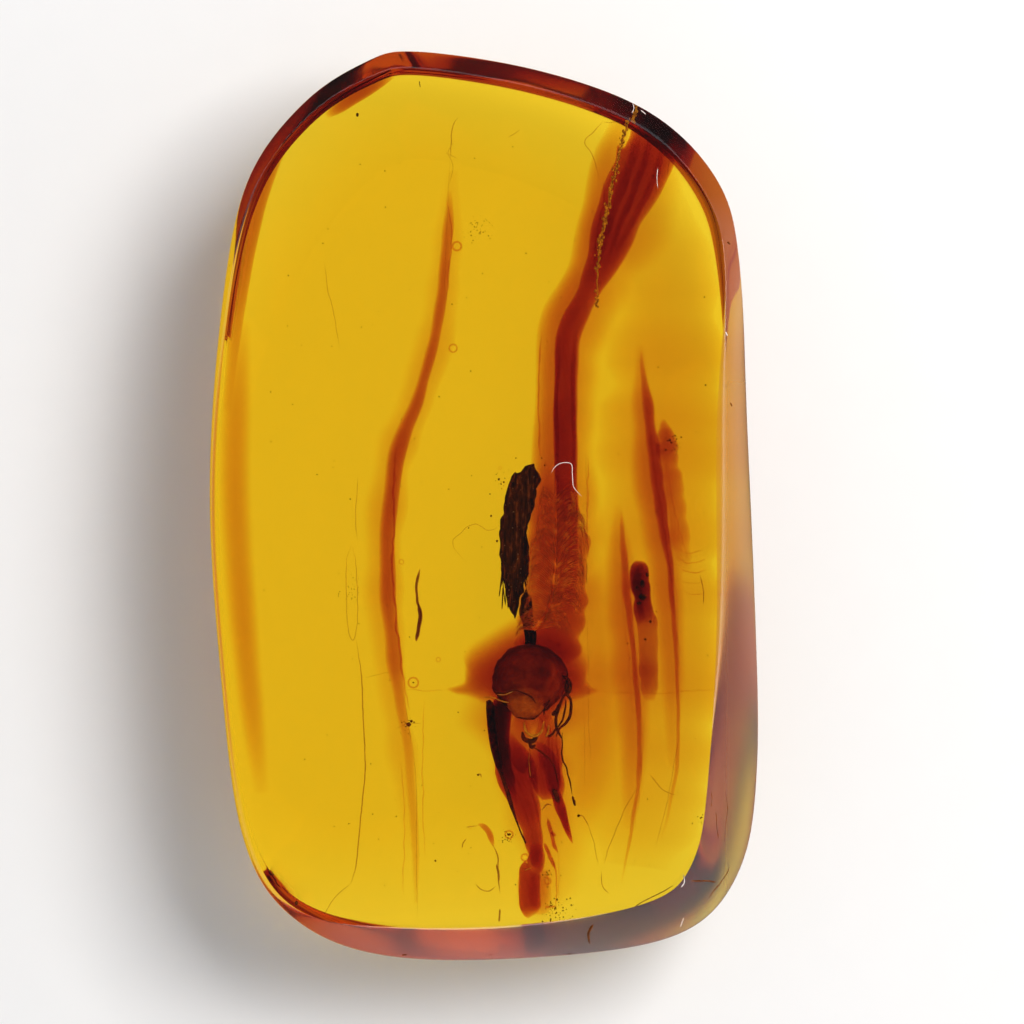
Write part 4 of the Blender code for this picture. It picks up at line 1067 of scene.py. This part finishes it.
# %% Fine stains
fine_stains = threads([
    (5.4, 0.060, [(-3.94, 2.69), (-4.03, 1.63), (-4.07, -0.57), (-4.12, -2.33), (-4.03, -4.10), (-3.85, -6.08),
                  (-3.59, -7.80), (-3.37, -9.03)]),
    (5.4, 0.045, [(-1.74, 13.70), (-1.52, 12.20), (-1.61, 10.79), (-1.74, 9.12)]),
    (6.0, 0.050, [(5.22, 14.49), (5.18, 13.30), (4.91, 11.76), (4.69, 9.56)]),
    (6.0, 0.030, [(8.39, -1.81), (9.01, -2.03), (9.62, -1.85)]),
    (6.0, 0.030, [(8.48, -2.25), (9.10, -2.47), (9.80, -2.25)]),
    (6.0, 0.030, [(8.57, -2.73), (9.18, -2.91), (9.80, -2.73)]),
    (6.0, 0.026, [(8.66, -3.22), (9.23, -3.39), (9.76, -3.26)]),
    (6.0, 0.026, [(8.74, -3.74), (9.27, -3.88), (9.71, -3.79)]),
    (6.9, 0.040, [(7.07, 4.71), (7.29, 2.95), (7.51, 1.19), (7.86, -1.01), (8.17, -3.00), (8.35, -4.98)]),
    (6.9, 0.030, [(7.33, 3.83), (7.64, 1.85), (8.00, -0.57), (8.30, -2.78), (8.52, -5.86), (8.61, -8.50)]),
    (6.9, 0.026, [(7.86, 2.51), (8.17, 0.75), (8.57, -1.01), (8.92, -2.33)]),
    (6.0, 0.028, [(6.10, -1.01), (6.28, -2.78), (6.50, -4.98), (6.72, -7.18), (6.94, -9.82), (6.89, -11.81),
                  (6.67, -13.57), (6.37, -15.11)]),
    (6.0, 0.022, [(5.92, -1.45), (6.06, -4.10), (6.32, -6.74), (6.54, -9.38)]),
    (5.6, 0.030, [(4.78, -8.11), (6.81, -8.24), (9.01, -8.15), (10.20, -8.11)]),
    (5.6, 0.024, [(-1.78, -8.11), (-2.67, -8.15), (-3.59, -8.06)]),
    (5.2, 0.030, [(-3.77, -11.14), (-3.59, -13.79), (-3.68, -17.31)]),
    (5.2, 0.030, [(-2.71, -8.50), (-2.80, -12.03), (-2.67, -15.55)]),
    (4.6, 0.040, [(4.52, 2.29), (4.52, -0.57), (4.52, -2.33)]),
    (4.6, 0.050, [(2.44, 7.80), (2.36, 4.71), (2.44, 2.07)]),
    (6.0, 0.060, [(3.19, -5.86), (3.28, -6.39), (3.55, -6.74)]),
], drift=0.08)
piece("fine_stains", fine_stains, soaked)
dirt_arch = ribbon([(-0.33, -14.05, 5.4, 0.04, 0.02), (-0.11, -14.14, 5.4, 0.13, 0.06), (0.11, -14.36, 5.4, 0.13, 0.07),
                    (0.24, -14.67, 5.4, 0.13, 0.07), (0.33, -15.02, 5.4, 0.04, 0.02)], count=30, drift=0.03,
                   pinch=(0.7, 0.7), per_mm=2.0, seed=83.0)
piece("dirt_arch", dirt_arch, soaked)

# %% [markdown]
# A bubble shows as a dark ring, because only its rim bends the light away from the eye. Here that dark ring is painted
# shade: a thin ring of stain, which, unlike a sphere of air, needs no index below 1. A circle is spun round an axis to
# make each ring.

# %% Bubbles
RING_SIDES, RING_STEPS = 8, 40


def bubble(x, y, z, radius, thickness):
    """A ring round a place, made by spinning a small circle about the vertical."""
    bm = bmesh.new()
    made = bmesh.ops.create_circle(bm, segments=RING_SIDES, radius=thickness,
                                   matrix=Matrix.Translation((radius, 0, 0)) @ Matrix.Rotation(math.pi / 2, 4, 'X'))
    bmesh.ops.spin(bm, geom=made['verts'] + bm.edges[:], cent=(0, 0, 0), axis=(0, 0, 1),
                   angle=2 * math.pi, steps=RING_STEPS, use_merge=True)
    bmesh.ops.remove_doubles(bm, verts=bm.verts, dist=1e-6)
    bmesh.ops.translate(bm, verts=bm.verts, vec=(x, y, z))
    bmesh.ops.scale(bm, verts=bm.verts, vec=(MM, MM, MM))
    bmesh.ops.recalc_face_normals(bm, faces=bm.faces)
    return bm


# Each ring is painted shade where a bubble's rim would bend the light away.
rings = joined([bubble(*spot) for spot in [
    (-1.26, 11.50, 7.0, 0.19, 0.050), (-1.43, 7.00, 7.0, 0.17, 0.042), (-3.19, -7.75, 6.5, 0.22, 0.045),
    (-3.72, -2.42, 6.0, 0.10, 0.030), (-2.09, -6.74, 6.0, 0.09, 0.028), (1.74, -15.51, 5.3, 0.15, 0.045),
    (2.75, -16.56, 5.3, 0.14, 0.040), (2.75, -16.21, 5.3, 0.11, 0.030), (1.04, -14.49, 5.6, 0.17, 0.045),
    (-0.68, -14.18, 5.4, 0.07, 0.018), (-4.56, -4.10, 6.0, 0.07, 0.018), (0.64, 1.72, 6.2, 0.07, 0.020)]])
piece("bubble_painted_shade_rings", rings, soaked)

# %% [markdown]
# Dust comes last. A few crumbs lie where they can be made out one by one, some form loose clusters,
# and the rest are scattered through the whole depth with a fixed seed.

# %% Dust
chance = random.Random(23)
grime = Finish("dust_grime", Roughness=0.8, Specular_IOR_Level=0.1)
grime.colour(grime.ramp(grime.cloud(6.0), [(0.35, (0.06, 0.015, 0.004)), (0.65, (0.24, 0.07, 0.016))]))
grime.bump(grime.cloud(15.0), 0.02)


def crumb(x, y, z, size):
    """A rough grain of dust."""
    return lump((x, y, z), (size, size * chance.uniform(0.7, 1.3), size * 0.8), size * 0.4, 0.8 / size, 1,
                chance.uniform(0, 50))


dust = [crumb(*spot) for spot in [
    (-5.62, 17.22, 8.5, 0.075), (-0.33, -11.85, 5.8, 0.050), (-2.22, -15.64, 6.0, 0.050), (-8.35, -17.49, 6.0, 0.090),
    (-3.41, -9.60, 6.0, 0.130), (-3.28, -9.47, 6.1, 0.080), (1.04, -14.49, 5.6, 0.090), (0.24, -0.40, 6.0, 0.050),
    (0.51, -1.50, 6.0, 0.060), (0.59, 1.23, 6.0, 0.060), (0.81, 1.10, 6.0, 0.045), (0.20, 0.57, 6.0, 0.035),
    (2.62, 1.85, 5.6, 0.045), (2.49, 2.16, 5.6, 0.035), (1.34, 2.16, 5.6, 0.030), (-3.19, -7.75, 6.5, 0.040),
    (4.12, -13.66, 5.4, 0.070), (3.94, -13.04, 5.3, 0.060), (-1.21, -9.07, 6.0, 0.030), (8.13, 2.95, 6.6, 0.060),
    (7.95, 2.51, 6.6, 0.050), (9.71, 5.37, 7.0, 0.045), (7.16, -12.91, 6.0, 0.035)]]
clusters = [(-0.33, 12.29, 7.0, 0.26, 46, 0.022), (1.04, -14.54, 5.6, 0.16, 24, 0.024),
            (2.93, -17.84, 5.2, 0.30, 34, 0.036), (3.55, -17.93, 5.2, 0.28, 22, 0.030),
            (-3.41, -9.65, 6.0, 0.20, 16, 0.030), (0.64, 1.28, 6.0, 0.24, 14, 0.022),
            (-5.88, -3.66, 6.4, 0.34, 30, 0.020), (8.30, 2.86, 6.6, 0.22, 24, 0.032),
            (2.71, -16.43, 5.2, 0.22, 18, 0.030), (9.58, -13.79, 6.6, 0.26, 12, 0.030)]
for x, y, z, spread, count, size in clusters:
    dust += [crumb(x + chance.gauss(0, spread), y + chance.gauss(0, spread), z + chance.gauss(0, spread / 2),
                   size * chance.uniform(0.5, 1.3)) for _ in range(count)]
for _ in range(220):
    x, y = chance.uniform(-10.5, 10.0), chance.uniform(-18, 18)
    if (x / 10.8) ** 4 + (y / 18.6) ** 4 < 0.75:                # well inside the rounded outline
        dust.append(crumb(x, y, chance.uniform(2.5, 8.5), chance.uniform(0.010, 0.034)))
piece("dust", joined(dust), grime)

# %% [markdown]
# One pale lint hair lies on the polished face. It is a strand on the surface, not a line in the
# finish, so it casts its own thin shadow into the clear resin.

# %% Lint
# This pale finish serves the real lint and also the painted glints on the edges further down.
lint = Finish("pale_lint_and_painted_glint", Roughness=0.5, Sheen_Weight=0.3)
lint.colour(lint.ramp(lint.cloud(5.0), [(0.3, (0.80, 0.66, 0.60)), (0.7, (0.95, 0.88, 0.84))]))
lint.bump(lint.cloud(20.0), 0.01)
FACE = THICKNESS + 0.02
pale_lines = threads([
    (FACE, 0.015, [(2.89, 1.50), (3.02, 1.72), (3.24, 1.89), (3.55, 1.94), (3.77, 1.85), (3.81, 1.41),
                   (3.85, 0.93), (3.99, 0.70), (4.21, 0.48)]),
    (FACE - 0.03, 0.016, [(7.55, 14.84), (7.51, 14.40), (7.55, 13.92)]),
    (FACE - 0.03, 0.014, [(6.45, 17.66), (6.50, 17.44), (6.41, 17.22)]),
], drift=0.01)
piece("lint_hair", pale_lines, lint)

# %% [markdown]
# The edges have small nicks that hold dark dirt. The few white specks on the edges are painted glints, pale strands
# that stand in for light shining off the edge. They all follow the rounded edge, so their height is measured by a ray
# that is shot down at the finished block.

# %% Nicks and painted glints
bpy.context.view_layer.update()
amber_body = bpy.data.objects["amber_block"]


def on_top(x, y, sunk=0.0):
    """The place on the block's upper surface straight below (x, y)."""
    found, spot, _, _ = amber_body.ray_cast(at(x, y, 20), (0, 0, -1))
    if not found:
        raise ValueError(f"no amber below {x:.2f}, {y:.2f}")
    return (x, y, spot.z / MM - sunk)


old_nicks = [([(10.68, -15.64), (10.73, -15.99), (10.42, -16.52), (10.02, -17.00), (9.67, -17.53)], 0.022),
             ([(6.37, -17.62), (6.89, -17.27), (7.69, -16.87), (8.22, -16.56)], 0.020),
             ([(9.01, -16.39), (9.58, -16.43), (10.15, -16.52)], 0.045),
             ([(9.89, -12.47), (9.93, -12.77), (9.89, -13.13)], 0.022),
             ([(10.55, -12.47), (10.64, -13.26), (10.55, -14.05), (10.51, -14.89)], 0.018),
             ([(10.11, -13.35), (10.15, -13.96), (10.24, -14.58)], 0.020),
             ([(4.74, -18.28), (4.52, -18.72), (4.60, -19.25)], 0.060),
             ([(-3.68, -19.73), (-3.46, -19.73)], 0.035), ([(0.11, -19.73), (0.33, -19.73)], 0.030),
             ([(3.63, -19.73), (3.81, -19.73)], 0.030), ([(10.59, 11.59), (10.73, 11.50)], 0.040),
             ([(10.73, 4.58), (10.81, 4.41)], 0.030), ([(-2.89, 18.63), (-2.84, 18.37)], 0.020)]
nick_lines = [strand([on_top(x, y, 0.01) for x, y in places], radius, 8 * len(places), 5, drift=0.02,
                     seed=3.1 * n) for n, (places, radius) in enumerate(old_nicks)]
piece("edge_nicks", joined(nick_lines), grime)

# Painted glints: white strands on the edge in place of light that shines off it.
painted_glint_marks = [([(8.66, -16.08), (8.70, -16.43), (8.57, -16.65)], 0.028), ([(8.74, -18.10), (8.61, -18.55)], 0.024),
               ([(10.51, 7.66), (10.59, 7.49)], 0.028), ([(6.81, 17.40), (7.03, 17.22)], 0.022)]
painted_glint_lines = [strand([on_top(x, y) for x, y in places], radius, 8 * len(places), 5, drift=0.02,
                      seed=40 + 2.3 * n) for n, (places, radius) in enumerate(painted_glint_marks)]
piece("edge_painted_glints", joined(painted_glint_lines), lint)
# %% [markdown]
# ## Surface, light and camera
# Amber is photographed on a white surface that shines up through it. The floor is plain and pale, and
# under the piece, hidden from above, it glows a little like a light pad. A soft key light
# from the right and behind gives the shadow to the left and in front. Two low strips give the pale
# sheen on the rounded edges at the right and in front. The sky above is dark at the very top, or the
# flat face would mirror it as a grey haze.

# %% The floor
PAD_GLOW = 0.78


def stage_sheet(name, bm, finish):
    """A flat sheet that the piece lies on, which isn't part of it."""
    mesh = bpy.data.meshes.new(name)
    bm.to_mesh(mesh)
    bm.free()
    mesh.materials.append(finish.material)
    obj = bpy.data.objects.new(name, mesh)
    bpy.context.scene.collection.objects.link(obj)
    obj.visible_glossy = False


paper = Finish("floor_paper", Roughness=0.9)
paper.colour(paper.mix(paper.cloud(0.5), (0.86, 0.86, 0.86), (0.88, 0.88, 0.88)))
sheet = bmesh.new()
bmesh.ops.create_grid(sheet, x_segments=2, y_segments=2, size=1.0)
bmesh.ops.translate(sheet, vec=at(0, 0, -0.04), verts=sheet.verts)
stage_sheet("floor", sheet, paper)

# The pad's dark grey colour is a painted shadow under the block's overhang, and its glow is painted light that shines
# up through the amber.
pad = Finish("painted_glow_and_shadow_pad", Roughness=0.9, Base_Color=(0.25, 0.25, 0.25, 1.0), Emission_Strength=1.0,
             Emission_Color=(PAD_GLOW, PAD_GLOW, PAD_GLOW, 1.0))
disc = bmesh.new()
bmesh.ops.create_circle(disc, cap_ends=True, segments=AROUND, radius=MM)
disc.faces.ensure_lookup_table()
for vert, (x, y) in zip(disc.faces[0].verts, foot_line):
    vert.co = at(x, y, -0.02)
bmesh.ops.recalc_face_normals(disc, faces=disc.faces)
stage_sheet("painted_glow_and_shadow_pad", disc, pad)

# %% [markdown]
# The rims mirror what stands round the table. A dark room behind keeps the far rims deep red, and a
# white card in front and to the right lays the pale milky sheen on the near ones. So the floor isn't
# mirrored, and below the horizon the sky holds the card: its light rises towards the front right.

# %% The sky
SKY = [(0.0, 0.9), (0.3, 0.8), (0.6, 0.42), (0.85, 0.3), (0.93, 0.16), (1.0, 0.10)]   # height, light
CARD = [(0.0, 0.10), (0.3, 0.25), (0.6, 1.0)]                        # share towards the card, light
CARD_SIDE = (0.75, -0.66, 0.0)
SKY_TINT = (0.94, 0.99, 1.07)

world = bpy.data.worlds.new("studio")
bpy.context.scene.world = world
world.use_nodes = True
sky = world.node_tree
direction = sky.nodes.new("ShaderNodeTexCoord")


def shaded(stops, share):
    """Light along a share of the direction, from a ramp of stops."""
    ramp = sky.nodes.new("ShaderNodeValToRGB")
    Finish._set_stops(ramp.color_ramp, [(position, [light * part for part in SKY_TINT])
                                        for position, light in stops])
    sky.links.new(share, ramp.inputs["Fac"])
    return ramp.outputs["Color"]


height = sky.nodes.new("ShaderNodeSeparateXYZ")
towards = sky.nodes.new("ShaderNodeVectorMath")
towards.operation = 'DOT_PRODUCT'
towards.inputs[1].default_value = CARD_SIDE
below = sky.nodes.new("ShaderNodeMath")
below.operation = 'LESS_THAN'
below.inputs[1].default_value = 0.0
both = sky.nodes.new("ShaderNodeMixRGB")
sky.links.new(direction.outputs["Generated"], height.inputs[0])
sky.links.new(direction.outputs["Generated"], towards.inputs[0])
sky.links.new(height.outputs["Z"], below.inputs[0])
sky.links.new(below.outputs[0], both.inputs["Fac"])
sky.links.new(shaded(SKY, height.outputs["Z"]), both.inputs["Color1"])
sky.links.new(shaded(CARD, towards.outputs["Value"]), both.inputs["Color2"])
sky.links.new(both.outputs["Color"], sky.nodes["Background"].inputs["Color"])

# %% The lamps


def soft_box(name, turn, rise, distance, size, radiance):
    """An area lamp, in degrees round and above the piece, that faces it; sizes are in metres."""
    lamp = bpy.data.lights.new(name, 'AREA')
    lamp.shape = 'RECTANGLE'
    lamp.size, lamp.size_y = size
    lamp.energy = radiance * math.pi * size[0] * size[1]
    lamp.color = (1.0, 0.96, 0.91)
    obj = bpy.data.objects.new(name, lamp)
    bpy.context.scene.collection.objects.link(obj)
    turn, rise = math.radians(turn), math.radians(rise)
    obj.location = distance * Vector((math.cos(rise) * math.cos(turn), math.cos(rise) * math.sin(turn),
                                      math.sin(rise)))
    obj.rotation_euler = (-obj.location).to_track_quat('-Z', 'Y').to_euler()
    obj.visible_transmission = False
    print(f"{name}: {lamp.energy:.2f} W")


soft_box("key", 34, 58, 0.30, (0.16, 0.13), 12.6)
soft_box("right_strip", -8, 12, 0.30, (0.24, 0.06), 3.0)
soft_box("front_strip", -80, 8, 0.30, (0.22, 0.05), 3.0)

# %% [markdown]
# The camera looks straight down. A long lens keeps the flat face, which is nearer, from hiding the
# rims behind it. Light crosses many surfaces inside the amber, so more bounces than usual are allowed.

# %% The camera
VIEW_WIDTH = 45.15               # mm across the picture, at VIEW_HEIGHT above the surface
VIEW_HEIGHT = 8.0
VIEW_CENTRE = (1.17, -0.22)

camera = bpy.data.cameras.new("camera")
camera.lens = 200.0
camera.sensor_width = 36.0
camera_obj = bpy.data.objects.new("camera", camera)
bpy.context.scene.collection.objects.link(camera_obj)
camera_obj.location = at(*VIEW_CENTRE, VIEW_HEIGHT + VIEW_WIDTH * camera.lens / camera.sensor_width)
bpy.context.scene.camera = camera_obj
bpy.context.scene.view_settings.view_transform = 'Standard'
bpy.context.scene.cycles.max_bounces = 24
bpy.context.scene.cycles.transmission_bounces = 24
bpy.context.scene.cycles.glossy_bounces = 12
print(f"camera {camera_obj.location.z / MM:.0f} mm above the surface")
